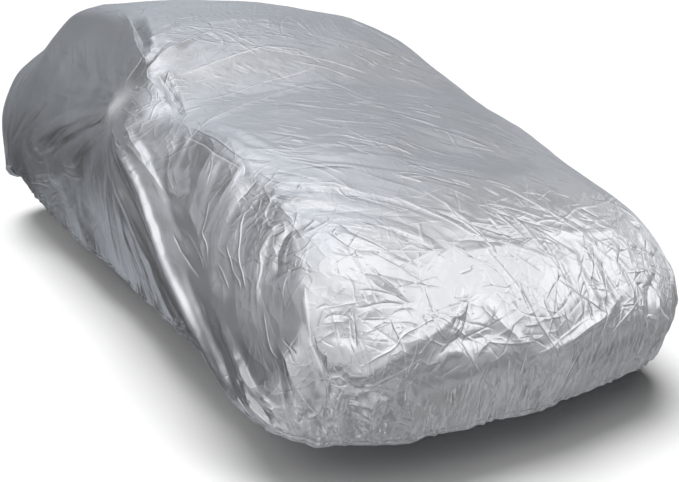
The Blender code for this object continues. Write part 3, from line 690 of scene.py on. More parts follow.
# %% Creases of the top
TOP = (
    # The near edge of the roof, its corner with two folds and a valley between them, and
    # the hollow that runs down from there to the peak.
    (24, 6, 0.0, 0.0, ((-0.50, 0.06), (-0.56, -0.12), (-0.62, -0.34), (-0.70, -0.50))),
    (20, 13, 0.7, 0.0, ((-0.72, -0.52), (-0.68, -0.51), (-0.63, -0.48), (-0.54, -0.44),
                        (-0.44, -0.38), (-0.35, -0.33))),
    (18, -11, 0.6, 0.0, ((-0.70, -0.49), (-0.65, -0.45), (-0.60, -0.41), (-0.55, -0.37))),
    (18, 8, 0.7, 0.0, ((-0.65, -0.34), (-0.59, -0.31), (-0.51, -0.26), (-0.42, -0.21))),
    (18, 5, 0.7, 0.0, ((-0.61, -0.29), (-0.54, -0.22), (-0.44, -0.17))),
    (20, 7, 0.6, 0.0, ((-0.71, -0.51), (-0.73, -0.56), (-0.73, -0.62), (-0.72, -0.68),
                        (-0.72, -0.76), (-0.74, -0.88))),
    (20, -13, 0.4, 0.0, ((-0.69, -0.56), (-0.69, -0.61), (-0.69, -0.68), (-0.70, -0.76),
                         (-0.71, -0.87))),
    (18, 6, 0.6, 0.0, ((-0.64, -0.57), (-0.65, -0.61), (-0.65, -0.67), (-0.66, -0.74),
                       (-0.70, -0.91))),
    # Low swells across the roof's front and the screen, under the fine creases there.
    (22, 4, 0.0, 0.0, ((-0.63, -0.62), (-0.51, -0.60), (-0.36, -0.56), (-0.20, -0.52),
                       (-0.09, -0.52), (0.02, -0.55))),
    (24, -4, 0.0, 0.0, ((-0.66, -0.56), (-0.50, -0.53), (-0.36, -0.47), (-0.20, -0.42))),
    (24, 4, 0.0, 0.0, ((-0.69, -1.00), (-0.58, -0.96), (-0.44, -0.91), (-0.21, -0.83),
                       (0.01, -0.78))),
    (24, -3, 0.0, 0.0, ((0.04, -0.62), (0.20, -0.66), (0.38, -0.64), (0.54, -0.58))),
    (24, 4, 0.0, 0.0, ((-0.40, -0.26), (-0.20, -0.22), (0.02, -0.24), (0.22, -0.28))),
    (26, -4, 0.0, 0.0, ((-0.46, -0.16), (-0.24, -0.12), (0.02, -0.12), (0.30, -0.16))),
    (24, 3, 0.0, 0.0, ((-0.34, -0.04), (-0.10, 0.00), (0.16, -0.01), (0.40, -0.06))),
    # The step where the bonnet meets the screen, and the bonnet's long creases.
    (13, 5, 0.8, 0.0, ((0.11, -0.84), (0.20, -0.96), (0.28, -1.06), (0.34, -1.16), (0.38, -1.28),
                       (0.40, -1.42), (0.41, -1.56), (0.42, -1.72))),
    (12, 4, 0.8, 0.0, ((0.24, -0.84), (0.36, -0.96), (0.46, -1.12), (0.52, -1.30))),
    (26, 3, 0.0, 0.2, ((-0.79, -0.86), (-0.68, -1.02), (-0.65, -1.14), (-0.63, -1.26), (-0.60, -1.38))),
    (22, -2.5, 0.0, 0.0, ((-0.72, -0.92), (-0.66, -1.06), (-0.625, -1.20), (-0.59, -1.33))),
    (20, 2.5, 0.0, 0.0, ((-0.68, -0.97), (-0.60, -1.12), (-0.565, -1.28), (-0.53, -1.38))),
    # Streaks that run slantwise over the bonnet towards its far front corner.
    (13, 4, 0.3, 0.0, ((-0.64, -1.46), (-0.54, -1.58), (-0.45, -1.68), (-0.35, -1.79), (-0.24, -1.94))),
    (14, -5, 0.4, 0.0, ((-0.68, -1.50), (-0.60, -1.60), (-0.50, -1.70), (-0.40, -1.80), (-0.26, -1.97))),
    (13, 4.5, 0.3, 0.0, ((-0.72, -1.54), (-0.63, -1.63), (-0.54, -1.74), (-0.44, -1.86))),
    (14, -5, 0.4, 0.0, ((-0.66, -1.62), (-0.57, -1.73), (-0.47, -1.84), (-0.37, -1.96), (-0.30, -2.06))),
    (13, 4, 0.3, 0.0, ((-0.48, -1.50), (-0.36, -1.60), (-0.22, -1.70), (-0.08, -1.83))),
    (14, -4, 0.3, 0.0, ((-0.52, -1.44), (-0.40, -1.54), (-0.26, -1.65), (-0.10, -1.76))),
    (14, 4, 0.4, 0.0, ((-0.40, -1.46), (-0.24, -1.56), (-0.08, -1.66), (0.06, -1.78))),
    (13, -3.5, 0.3, 0.0, ((-0.30, -1.44), (-0.14, -1.54), (0.02, -1.66), (0.14, -1.80))),
    (13, 3.5, 0.3, 0.0, ((-0.20, -1.38), (-0.04, -1.50), (0.12, -1.64), (0.24, -1.80))),
    (13, -3.5, 0.4, 0.0, ((0.02, -1.34), (0.14, -1.50), (0.26, -1.68), (0.34, -1.86))),
    (12, 3.5, 0.3, 0.0, ((0.16, -1.30), (0.26, -1.46), (0.34, -1.62), (0.42, -1.82))),
    (12, 3.5, 0.3, 0.0, ((-0.62, -1.84), (-0.52, -1.95), (-0.46, -2.03), (-0.40, -2.10))),
    # Near front corner of the bonnet: an arc and the crumpled folds inside it.
    (18, 3, 0.3, 0.2, ((-0.67, -1.70), (-0.73, -1.66), (-0.78, -1.68), (-0.82, -1.73), (-0.86, -1.80))),
    (14, -8, 0.5, 0.0, ((-0.65, -1.76), (-0.70, -1.72), (-0.75, -1.74), (-0.79, -1.80))),
    # The far side of the bonnet and the roof.
    (18, 8, 0.6, 0.0, ((0.53, -1.84), (0.57, -1.96), (0.60, -2.04))),
    (24, 9, 0.4, 0.0, ((0.50, 0.04), (0.57, -0.14), (0.63, -0.36), (0.69, -0.58), (0.72, -0.84))),
    (20, -7, 0.3, 0.0, ((0.46, -0.10), (0.53, -0.28), (0.59, -0.48), (0.64, -0.72))),
    # Roof and rear slope: long shallow folds lengthwise, and some across.
    (26, 4, 0.2, 0.0, ((-0.46, 0.10), (-0.42, 0.50), (-0.44, 0.90), (-0.50, 1.30))),
    (26, -4, 0.1, 0.0, ((-0.36, 0.06), (-0.30, 0.50), (-0.32, 0.94), (-0.40, 1.38))),
    (24, 4, 0.2, 0.0, ((0.42, 0.10), (0.40, 0.56), (0.44, 1.00), (0.52, 1.40))),
    (26, -4, 0.1, 0.0, ((0.30, 0.16), (0.26, 0.60), (0.30, 1.04), (0.38, 1.44))),
    (20, 4, 0.4, 0.0, ((-0.40, 0.30), (-0.10, 0.24), (0.20, 0.28), (0.44, 0.22))),
    (20, 4, 0.4, 0.0, ((-0.44, 0.78), (-0.16, 0.70), (0.12, 0.76), (0.40, 0.70))),
    (22, 6, 0.4, 0.0, ((-0.52, 1.24), (-0.24, 1.40), (0.04, 1.46), (0.30, 1.42), (0.54, 1.26))),
    (22, -6, 0.2, 0.0, ((-0.56, 1.38), (-0.28, 1.54), (0.02, 1.60), (0.30, 1.54), (0.58, 1.40))),
    (20, 7, 0.5, 0.0, ((-0.58, 1.60), (-0.34, 1.76), (-0.10, 1.80), (0.16, 1.76))),
    (20, -6, 0.3, 0.0, ((-0.10, 1.72), (0.16, 1.84), (0.40, 1.78), (0.60, 1.62))),
)
print("top:", len(TOP), "creases")

# %% [markdown]
# The nose is the most crumpled part. Cloth that is left over is pushed into folds at both
# lower corners, and a long crease runs up from the near one. The tail is kept plainer.

# %% Creases of the nose and the tail
NOSE = (
    # The long crease up from the near corner, and the valley below its upper end.
    (90, 12, 0.0, 0.0, ((-0.80, 0.42), (-0.66, 0.48), (-0.52, 0.54), (-0.34, 0.61))),
    (20, 7, 0.0, 0.2, ((-0.71, 0.43), (-0.68, 0.44), (-0.58, 0.50), (-0.48, 0.545),
                       (-0.40, 0.575), (-0.32, 0.605), (-0.27, 0.62))),
    (18, 6, 0.6, 0.0, ((-0.29, 0.61), (-0.25, 0.57), (-0.23, 0.53), (-0.19, 0.49),
                       (-0.16, 0.44))),
    (18, -6, 0.0, 0.0, ((-0.46, 0.51), (-0.36, 0.505), (-0.27, 0.50))),
    (18, 5, 0.0, 0.0, ((-0.54, 0.43), (-0.46, 0.47), (-0.38, 0.48))),
    # The sharp change of light below the middle of the nose.
    (24, 8, 0.4, 0.3, ((-0.16, 0.415), (-0.08, 0.425), (0.00, 0.43), (0.10, 0.46),
                       (0.18, 0.475), (0.26, 0.51), (0.34, 0.53))),
    # Edge where the top turns down into the nose.
    (18, 5, 0.0, 0.0, ((-0.30, 0.725), (-0.20, 0.722), (-0.10, 0.722), (0.02, 0.718))),
    (18, 5, 0.0, 0.0, ((0.06, 0.745), (0.12, 0.735), (0.20, 0.725), (0.28, 0.71),
                       (0.40, 0.70), (0.48, 0.70))),
    # Falls down the far half of the nose, and the bunched far corner.
    (18, 6, 0.0, 0.0, ((0.16, 0.70), (0.145, 0.63), (0.17, 0.55), (0.19, 0.48))),
    (18, -6, 0.0, 0.0, ((0.19, 0.70), (0.18, 0.62), (0.20, 0.54), (0.225, 0.46))),
    (18, 6, 0.0, 0.0, ((0.23, 0.70), (0.225, 0.61), (0.24, 0.53), (0.26, 0.47))),
    (18, -6, 0.0, 0.0, ((0.28, 0.70), (0.265, 0.61), (0.28, 0.53), (0.31, 0.46))),
    (18, 6, 0.0, 0.0, ((0.36, 0.68), (0.33, 0.61), (0.345, 0.54), (0.37, 0.48))),
    (22, 14, 0.6, 0.0, ((0.50, 0.51), (0.48, 0.46), (0.45, 0.39), (0.45, 0.30), (0.49, 0.17))),
    (18, -10, 0.4, 0.0, ((0.53, 0.55), (0.45, 0.50), (0.43, 0.42), (0.42, 0.35), (0.43, 0.26))),
    (20, 12, 0.6, 0.0, ((0.61, 0.46), (0.57, 0.42), (0.56, 0.37), (0.56, 0.31), (0.54, 0.25),
                        (0.54, 0.18))),
    (18, 12, 0.6, 0.0, ((0.67, 0.58), (0.66, 0.46), (0.63, 0.34), (0.60, 0.22))),
    (18, 8, 0.6, 0.0, ((0.60, 0.69), (0.56, 0.66), (0.57, 0.62), (0.59, 0.58))),
    (18, -5, 0.6, 0.0, ((0.55, 0.65), (0.47, 0.63), (0.45, 0.60))),
    (18, -6, 0.6, 0.0, ((0.57, 0.61), (0.57, 0.57), (0.50, 0.52))),
    (16, 9, 0.7, 0.0, ((0.56, 0.74), (0.60, 0.66), (0.66, 0.56), (0.71, 0.46))),
    # Near corner: crumpled folds, and the bunched cloth at the hem.
    (18, -6, 0.6, 0.0, ((-0.72, 0.57), (-0.72, 0.54), (-0.72, 0.52))),
    (18, -8, 0.6, 0.0, ((-0.67, 0.61), (-0.68, 0.58), (-0.69, 0.54), (-0.69, 0.51))),
    (18, -12, 0.6, 0.0, ((-0.79, 0.57), (-0.79, 0.50), (-0.78, 0.45), (-0.77, 0.38),
                         (-0.77, 0.32), (-0.75, 0.29))),
    (18, -13, 0.6, 0.0, ((-0.75, 0.46), (-0.74, 0.43), (-0.71, 0.40), (-0.69, 0.39))),
    (18, 10, 0.6, 0.0, ((-0.70, 0.46), (-0.68, 0.44), (-0.66, 0.43))),
    (20, -19, 0.7, 0.0, ((-0.72, 0.38), (-0.72, 0.34), (-0.71, 0.29), (-0.69, 0.21))),
    (20, 22, 0.8, 0.0, ((-0.65, 0.38), (-0.66, 0.34), (-0.66, 0.29), (-0.66, 0.21))),
    (18, 9, 0.6, 0.0, ((-0.65, 0.37), (-0.63, 0.36), (-0.61, 0.33), (-0.58, 0.27))),
    (18, -12, 0.6, 0.0, ((-0.62, 0.30), (-0.63, 0.25), (-0.63, 0.20))),
    (18, 8, 0.6, 0.0, ((-0.76, 0.24), (-0.73, 0.24), (-0.71, 0.20))),
    (18, 8, 0.6, 0.0, ((-0.57, 0.43), (-0.55, 0.34), (-0.54, 0.26), (-0.54, 0.20))),
)
TAIL = (
    (20, 9, 0.5, 0.0, ((-0.58, 0.92), (-0.40, 0.82), (-0.20, 0.78), (0.02, 0.80))),
    (18, -8, 0.3, 0.0, ((-0.54, 0.84), (-0.36, 0.74), (-0.16, 0.71), (0.06, 0.74))),
    (18, 8, 0.5, 0.0, ((0.10, 0.88), (0.26, 0.78), (0.44, 0.74), (0.60, 0.78))),
    (20, 10, 0.5, 0.0, ((-0.62, 0.70), (-0.60, 0.55), (-0.62, 0.40), (-0.60, 0.28))),
    (18, -9, 0.3, 0.0, ((-0.50, 0.66), (-0.49, 0.50), (-0.50, 0.30))),
    (18, 8, 0.5, 0.0, ((-0.34, 0.60), (-0.32, 0.44), (-0.34, 0.28))),
    (18, -7, 0.3, 0.0, ((-0.10, 0.58), (-0.08, 0.42), (-0.10, 0.27))),
    (18, 8, 0.5, 0.0, ((0.14, 0.62), (0.12, 0.44), (0.14, 0.27))),
    (18, -8, 0.3, 0.0, ((0.36, 0.64), (0.34, 0.46), (0.36, 0.28))),
    (20, 10, 0.5, 0.0, ((0.60, 0.72), (0.58, 0.54), (0.60, 0.38), (0.58, 0.28))),
)
print("nose:", len(NOSE), "creases, and tail:", len(TAIL))

# %% [markdown]
# Between the folds run fine sharp lines, a few millimetres wide, where the coating has
# been creased hard. They are drawn in the same way, but the mesh is too coarse for them,
# so the material will draw them. A row has width and height in millimetres and the path.

# %% Fine creases, drawn one by one
SCREEN_LINES = (
    (4, 2.4, ((-0.66, -0.64), (-0.62, -0.65), (-0.60, -0.65))),
    (4, 2.4, ((-0.66, -0.68), (-0.63, -0.69), (-0.60, -0.69))),
    (4, 2.4, ((-0.66, -0.73), (-0.63, -0.73), (-0.60, -0.73))),
    (4, 2.4, ((-0.67, -0.79), (-0.64, -0.78), (-0.61, -0.78))),
    (4, 2.4, ((-0.69, -0.85), (-0.65, -0.85), (-0.62, -0.85))),
    (4, 3.2, ((-0.63, -0.62), (-0.51, -0.60), (-0.36, -0.56), (-0.20, -0.52), (-0.09, -0.52),
        (0.02, -0.55))),
    (4, 3.0, ((-0.69, -1.00), (-0.58, -0.96), (-0.44, -0.91), (-0.21, -0.83), (0.01, -0.78))),
    (4, 2.4, ((-0.61, -0.79), (-0.51, -0.79), (-0.36, -0.75), (-0.22, -0.72), (-0.09, -0.70),
        (0.04, -0.67))),
    (5, 3.2, ((-0.63, -0.48), (-0.50, -0.41), (-0.38, -0.35), (-0.34, -0.36), (-0.34, -0.44),
        (-0.38, -0.52))),
    (4, 2.4, ((-0.46, -0.21), (-0.37, -0.28), (-0.29, -0.33), (-0.24, -0.42), (-0.18, -0.52))),
    (4, 2.4, ((-0.35, -0.33), (-0.29, -0.39), (-0.26, -0.49), (-0.23, -0.56))),
    (4, 2.1, ((-0.18, -0.52), (-0.02, -0.58), (0.15, -0.65), (0.27, -0.73))),
    (4, 1.8, ((-0.19, -0.20), (0.02, -0.32), (0.22, -0.44), (0.41, -0.58))),
    (4, 1.8, ((-0.01, -0.27), (0.19, -0.40), (0.38, -0.54), (0.50, -0.62))),
    (4, 1.8, ((-0.09, -0.61), (0.07, -0.69), (0.19, -0.79))),
    (4, 2.4, ((0.01, -0.78), (0.05, -0.85), (0.06, -0.96))),
    (4, 2.1, ((0.01, -0.90), (0.04, -1.02), (0.14, -1.14))),
)
BONNET_LINES = (
    (4, 1.2, ((-0.75, -0.94), (-0.71, -1.00), (-0.69, -1.10), (-0.68, -1.21), (-0.67, -1.30),
        (-0.65, -1.36), (-0.62, -1.40), (-0.57, -1.40))),
    (4, -1.4, ((-0.76, -0.98), (-0.73, -1.10), (-0.72, -1.23), (-0.70, -1.31), (-0.69, -1.36))),
    (7, -2.2, ((-0.61, -1.46), (-0.58, -1.51), (-0.55, -1.57), (-0.53, -1.60))),
    (7, -2.4, ((-0.66, -1.48), (-0.62, -1.54), (-0.58, -1.60), (-0.56, -1.64))),
    (5, -1.8, ((-0.67, -1.55), (-0.65, -1.61), (-0.62, -1.65))),
    (5, 1.8, ((-0.67, -1.53), (-0.64, -1.59), (-0.61, -1.65), (-0.59, -1.67))),
    (7, 1.6, ((-0.66, -1.42), (-0.64, -1.49), (-0.61, -1.54), (-0.53, -1.62))),
    (5, 1.6, ((-0.52, -1.31), (-0.50, -1.36), (-0.46, -1.38), (-0.42, -1.38))),
    (4, 1.8, ((-0.35, -1.32), (-0.28, -1.30), (-0.22, -1.27))),
    (5, 1.4, ((-0.23, -1.29), (-0.22, -1.36), (-0.20, -1.42), (-0.16, -1.42), (-0.08, -1.41),
        (0.01, -1.44))),
    (4, 1.2, ((-0.27, -1.48), (-0.21, -1.49), (-0.12, -1.50))),
    (6, -1.6, ((-0.31, -1.45), (-0.29, -1.51), (-0.27, -1.55))),
    (4, 1.6, ((-0.49, -1.66), (-0.49, -1.71), (-0.48, -1.75))),
    (6, 1.6, ((-0.45, -1.73), (-0.42, -1.79), (-0.38, -1.84), (-0.33, -1.91))),
    (5, 1.2, ((-0.55, -1.83), (-0.52, -1.87), (-0.46, -1.91), (-0.41, -1.96), (-0.38, -1.99))),
    (4, -2.2, ((-0.58, -1.79), (-0.57, -1.86), (-0.53, -1.94), (-0.49, -2.00), (-0.43, -2.05))),
    (4, -1.8, ((-0.62, -1.80), (-0.61, -1.88), (-0.58, -1.94), (-0.52, -1.98))),
    (4, 1.8, ((-0.58, -1.78), (-0.63, -1.78), (-0.66, -1.77))),
    (4, 2.2, ((-0.07, -1.95), (-0.03, -1.98), (0.00, -2.02), (0.01, -2.05), (0.01, -2.08))),
    (4, 1.6, ((-0.07, -1.96), (-0.06, -1.99), (-0.03, -2.05), (-0.02, -2.07))),
    (4, -1.4, ((-0.11, -1.98), (-0.10, -2.02), (-0.08, -2.06))),
    (4, -1.6, ((-0.27, -2.02), (-0.23, -2.03), (-0.16, -2.05), (-0.09, -2.06))),
    (4, 1.8, ((0.05, -2.03), (0.10, -2.02), (0.15, -2.02), (0.19, -2.03))),
    (4, 1.6, ((0.19, -1.99), (0.20, -2.02), (0.21, -2.03))),
    (4, 2, ((0.24, -2.00), (0.31, -1.98), (0.40, -1.97), (0.50, -1.94))),
    (4, 1.4, ((0.18, -2.03), (0.14, -2.06), (0.11, -2.07))),
    (5, -1.6, ((0.27, -2.02), (0.32, -2.03), (0.39, -2.03), (0.49, -2.01))),
    (4, 1.8, ((0.50, -1.94), (0.55, -1.96), (0.58, -2.00))),
    (4, 1.6, ((-0.28, -1.84), (-0.21, -1.83), (-0.12, -1.82))),
)
NOSE_LINES = (
    (4, 1.6, ((-0.58, 0.71), (-0.56, 0.68), (-0.53, 0.65))),
    (4, 3, ((-0.69, 0.46), (-0.66, 0.48), (-0.60, 0.51), (-0.56, 0.54), (-0.51, 0.56),
        (-0.47, 0.57), (-0.43, 0.58))),
    (4, 2.2, ((-0.51, 0.56), (-0.54, 0.51), (-0.56, 0.47), (-0.58, 0.42))),
    (4, 1.8, ((-0.48, 0.53), (-0.51, 0.51), (-0.54, 0.48))),
    (4, 1.6, ((-0.62, 0.44), (-0.61, 0.43), (-0.58, 0.42))),
    (4, 1.6, ((-0.53, 0.44), (-0.54, 0.41), (-0.55, 0.39))),
    (4, 1.4, ((-0.48, 0.50), (-0.50, 0.48), (-0.51, 0.45))),
    (4, -1.8, ((-0.43, 0.67), (-0.45, 0.64), (-0.45, 0.60), (-0.46, 0.59))),
    (4, -2.4, ((-0.59, 0.68), (-0.57, 0.66), (-0.54, 0.64), (-0.51, 0.61))),
    (4, 1.4, ((-0.57, 0.71), (-0.56, 0.68), (-0.53, 0.65), (-0.51, 0.62))),
    (4, -2, ((-0.63, 0.65), (-0.59, 0.65), (-0.55, 0.64), (-0.51, 0.63))),
    (4, -2.2, ((-0.66, 0.61), (-0.64, 0.61), (-0.60, 0.62), (-0.56, 0.62), (-0.52, 0.61))),
    (4, -2.2, ((-0.57, 0.59), (-0.54, 0.60), (-0.50, 0.60))),
    (4, -2, ((-0.66, 0.58), (-0.64, 0.58), (-0.61, 0.58), (-0.58, 0.58))),
    (4, -2, ((-0.57, 0.57), (-0.54, 0.57), (-0.51, 0.56))),
    (4, -1.4, ((-0.75, 0.60), (-0.73, 0.61), (-0.71, 0.61), (-0.68, 0.62))),
    (4, -2, ((-0.74, 0.58), (-0.72, 0.59), (-0.68, 0.59))),
    (4, -1.8, ((-0.77, 0.53), (-0.76, 0.52), (-0.74, 0.51))),
    (5, -2.2, ((-0.64, 0.68), (-0.64, 0.66), (-0.65, 0.63), (-0.65, 0.61))),
    (4, -1.6, ((-0.62, 0.65), (-0.62, 0.63), (-0.62, 0.62))),
    (6, -2.4, ((-0.58, 0.58), (-0.59, 0.55), (-0.61, 0.52))),
    (6, 3.2, ((-0.75, 0.65), (-0.77, 0.61), (-0.78, 0.56), (-0.79, 0.51), (-0.78, 0.45),
        (-0.77, 0.40))),
    (4, 2.4, ((-0.77, 0.42), (-0.75, 0.43), (-0.74, 0.43), (-0.72, 0.41))),
    (4, -2.4, ((-0.77, 0.41), (-0.74, 0.40), (-0.72, 0.41))),
    (4, -2, ((-0.75, 0.30), (-0.74, 0.34), (-0.73, 0.37))),
    (4, 1.8, ((-0.81, 0.29), (-0.79, 0.31), (-0.78, 0.33))),
    (4, -2, ((-0.04, 0.52), (0.01, 0.54), (0.05, 0.56))),
    (5, -2.2, ((-0.05, 0.59), (-0.05, 0.54), (-0.03, 0.48), (-0.03, 0.44))),
    (5, -1.8, ((0.08, 0.66), (0.08, 0.63), (0.09, 0.58))),
    (5, -2.2, ((0.23, 0.68), (0.22, 0.62), (0.22, 0.57))),
    (5, -2.4, ((0.28, 0.65), (0.26, 0.60), (0.22, 0.54))),
    (4, 1.8, ((0.15, 0.57), (0.21, 0.56), (0.28, 0.52))),
    (5, -1.8, ((0.14, 0.62), (0.14, 0.56), (0.14, 0.45))),
    (4, -1.4, ((-0.18, 0.60), (-0.15, 0.55), (-0.10, 0.53), (-0.05, 0.52))),
    (4, -1.4, ((-0.28, 0.63), (-0.22, 0.63), (-0.16, 0.62), (-0.10, 0.66))),
    (4, -1.6, ((-0.10, 0.65), (-0.12, 0.62), (-0.12, 0.57), (-0.12, 0.54))),
    (5, -1.6, ((0.24, 0.74), (0.24, 0.70), (0.20, 0.66), (0.15, 0.62), (0.11, 0.59))),
    (4, -1.8, ((-0.43, 0.67), (-0.45, 0.63), (-0.46, 0.58))),
    (4, -1.8, ((-0.32, 0.61), (-0.35, 0.56), (-0.38, 0.52))),
    (5, -2, ((-0.47, 0.48), (-0.43, 0.50), (-0.38, 0.52))),
    (4, -2, ((-0.37, 0.51), (-0.32, 0.52), (-0.27, 0.53))),
    (4, 1.4, ((-0.34, 0.46), (-0.31, 0.48), (-0.28, 0.50))),
    (4, -1.4, ((-0.26, 0.43), (-0.29, 0.48), (-0.30, 0.51))),
    (6, 4, ((0.49, 0.47), (0.53, 0.42), (0.62, 0.35))),
    (5, 2, ((0.52, 0.73), (0.52, 0.68), (0.51, 0.65))),
    (5, 2.4, ((0.39, 0.44), (0.43, 0.41), (0.42, 0.38))),
    (5, 2.2, ((0.41, 0.23), (0.41, 0.27), (0.48, 0.25))),
    (4, 1.4, ((0.26, 0.36), (0.26, 0.41), (0.29, 0.48))),
)
SIDE_LINES = (
    (3.6, 2.1, ((-0.62, 0.98), (-0.70, 0.95), (-0.82, 0.91))),
    (3.6, 1.7, ((-0.45, 1.06), (-0.32, 1.04), (-0.15, 1.01))),
    (4.2, -2.1, ((-0.47, 1.05), (-0.30, 1.01), (-0.12, 0.96))),
    (4.2, 1.8, ((-0.50, 1.04), (-0.40, 0.99), (-0.23, 0.92))),
    (3.6, 1.7, ((-0.42, 1.24), (-0.44, 1.20), (-0.46, 1.15), (-0.47, 1.10))),
    (3.0, -1.4, ((-0.15, 1.17), (-0.32, 1.16), (-0.47, 1.14))),
    (3.6, 2.4, ((-1.70, 0.79), (-1.68, 0.77), (-1.67, 0.75), (-1.68, 0.72), (-1.69, 0.70),
        (-1.73, 0.66), (-1.76, 0.61))),
    (3.6, 2.1, ((-1.51, 0.80), (-1.54, 0.76), (-1.58, 0.72), (-1.63, 0.67), (-1.68, 0.64),
        (-1.73, 0.60))),
    (3.0, 1.7, ((-1.34, 0.82), (-1.38, 0.77), (-1.41, 0.72), (-1.46, 0.69), (-1.50, 0.65))),
    (3.0, 1.5, ((-1.53, 0.71), (-1.59, 0.67), (-1.63, 0.64), (-1.68, 0.62), (-1.71, 0.60))),
    (3.0, 1.3, ((-1.55, 0.65), (-1.61, 0.62), (-1.66, 0.59))),
    (3.0, 1.5, ((-1.29, 0.71), (-1.36, 0.69), (-1.42, 0.67), (-1.48, 0.64), (-1.52, 0.61))),
    (4.2, -2.1, ((-1.27, 0.69), (-1.35, 0.65), (-1.43, 0.62), (-1.52, 0.59))),
    (3.0, 1.1, ((-1.82, 0.57), (-1.87, 0.52), (-1.91, 0.47), (-1.95, 0.45))),
    (2.4, -1.1, ((-1.93, 0.51), (-1.97, 0.49), (-1.99, 0.48))),
    (4.2, 2.8, ((-1.81, 0.30), (-1.84, 0.27), (-1.87, 0.25))),
    (4.2, 2.8, ((-1.86, 0.29), (-1.89, 0.27), (-1.95, 0.23))),
)
print("fine creases:", sum(map(len, (SCREEN_LINES, BONNET_LINES, NOSE_LINES, SIDE_LINES))))

# %% [markdown]
# Each drawn line now gets its place on the cover. It also strays a little from its smooth
# path, because no real crease is a perfect curve.

# %% Bring the lines onto the cover
DRAWN = (
    ("side", -1, NEAR_SIDE), ("side", 1, FAR_SIDE), ("top", 0, TOP), ("nose", 0, NOSE),
    ("tail", 0, TAIL),
)
FINE = (
    ("top", 0, SCREEN_LINES), ("top", 0, BONNET_LINES), ("nose", 0, NOSE_LINES),
    ("side", -1, SIDE_LINES),
)
FINEST_WIDTH = 18           # mm; narrower than this is left to the material
LINE_STEP = 0.012           # distance between the points of a worked-out line
WOBBLE = 0.004              # how far a line strays from its smooth path
FEWEST_POINTS = 4           # a line with fewer has missed the cover
STRAY_SEED = 5              # without one, the strays would differ from run to run


def line_on_cover(tree, view, half, path, seed):
    """A path drawn in one view, as close points on the cover and the cover's normals."""
    knots = np.array(path, dtype=float)
    rough = smooth_line(knots, np.linspace(0, len(knots) - 1, 8 * len(knots)))
    length = np.linalg.norm(np.diff(rough, axis=0), axis=1).sum()
    places = np.linspace(0, len(knots) - 1, max(6, int(length / LINE_STEP)))
    points, normals = [], []
    for k, (a, b) in enumerate(smooth_line(knots, places)):
        stray = noise.noise_vector((0.25 * k, 7.3 * seed, 0.0)) * WOBBLE
        a, b = a + stray.x, b + stray.y
        start, aim = {
            "side": ((3.0 * half, a, b), (-half, 0, 0)),
            "top": ((a, b, 3.0), (0, 0, -1)),
            "nose": ((a, -4.0, b), (0, 1, 0)),
            "tail": ((a, 4.5, b), (0, -1, 0)),
        }[view]
        place, normal, _, _ = tree.ray_cast(Vector(start), Vector(aim), 3.6)
        if place is not None:
            points.append(place[:])
            normals.append(normal[:])
    return np.array(points), np.array(normals)


noise.seed_set(STRAY_SEED)
smooth_tree = BVHTree.FromBMesh(cover)
drawn = []
for view, half, rows in DRAWN:
    for width, height, crisp, lean, path in rows:
        line, normals = line_on_cover(smooth_tree, view, half, path, len(drawn))
        if len(line) >= FEWEST_POINTS:
            wide = max(width, FINEST_WIDTH)
            height *= (width / wide) ** 1.5     # a fold made wider is made lower too
            drawn.append((line, normals, wide / 1000, height / 1000, crisp, lean))
fine = []
for view, half, rows in FINE:
    for width, height, path in rows:
        line, normals = line_on_cover(smooth_tree, view, half, path, len(fine))
        if len(line) >= FEWEST_POINTS:
            fine.append((line, normals, width / 1000, height / 1000))
print("creases drawn by hand:", len(drawn), "wide and", len(fine), "fine")

# %% [markdown]
# Pressing a crease. For every point of the mesh near the line, find how far it lies
# across the line and how far along. A soft fold is a round crest with a shallow trough on
# both sides, and a crisp one has a pointed crest; most are a mix of the two. The height
# fades out towards both ends and wavers a little on the way, so that no crease looks ruled.


# %% Press creases into the mesh
REACH_WIDTHS = 2.6          # a crease moves points this many widths away
TROUGH = 0.55               # how deep the troughs beside a soft crest are
END_FADE = 5                # the height fades out over one fifth of the length
WAVER = 0.25


def across_and_along(points, line, normals):
    """How far points lie across a line, positive on one side of it, and how far along it."""
    start, step = line[:-1], np.diff(line, axis=0)
    size = np.maximum((step**2).sum(1), 1e-12)
    offset = points[:, None] - start
    t = np.clip((offset * step).sum(-1) / size, 0, 1)
    offset -= t[..., None] * step
    gap = np.linalg.norm(offset, axis=-1)
    nearest = gap.argmin(1)
    rows = np.arange(len(points))
    sideways = np.cross(step[nearest], normals[nearest])
    sign = np.where((offset[rows, nearest] * sideways).sum(-1) < 0, -1, 1)
    return sign * gap[rows, nearest], (nearest + t[rows, nearest]) / len(step)


def crease_height(points, crease, seed):
    """Which points a crease moves, and how far it lifts each of them."""
    line, normals, width, height, crisp, lean = crease
    reach = REACH_WIDTHS * width * (1 + abs(lean))
    inside = (points > line.min(0) - reach) & (points < line.max(0) + reach)
    near = np.flatnonzero(inside.all(1))
    if len(near) == 0:
        return near, np.zeros(0)
    across, along = across_and_along(points[near], line, normals)
    scaled = across / (width * np.where(across > 0, 1 + lean, 1 - lean))
    soft = (1 - TROUGH * scaled**2) * np.exp(-(scaled**2))
    peaked = np.exp(-1.4 * np.sqrt(scaled**2 + 0.15) + 0.54)
    ends = np.clip(np.minimum(along, 1 - along) * END_FADE, 0, 1)
    waver = 1 + WAVER * np.sin(9 * along + seed) * np.cos(17 * along + 2.1 * seed)
    return near, height * ((1 - crisp / 2) * soft + crisp / 2 * peaked) * ends * waver


def pressed_height(points, creases):
    total = np.zeros(len(points))
    for seed, crease in enumerate(creases):
        near, height = crease_height(points, crease, seed)
        total[near] += height
    return total


cover.verts.ensure_lookup_table()
base_points = np.array([v.co[:] for v in cover.verts])
base_normals = np.array([v.normal[:] for v in cover.verts])
height = pressed_height(base_points, drawn)
print("drawn creases lift from", height.min().round(4), "to", height.max().round(4))
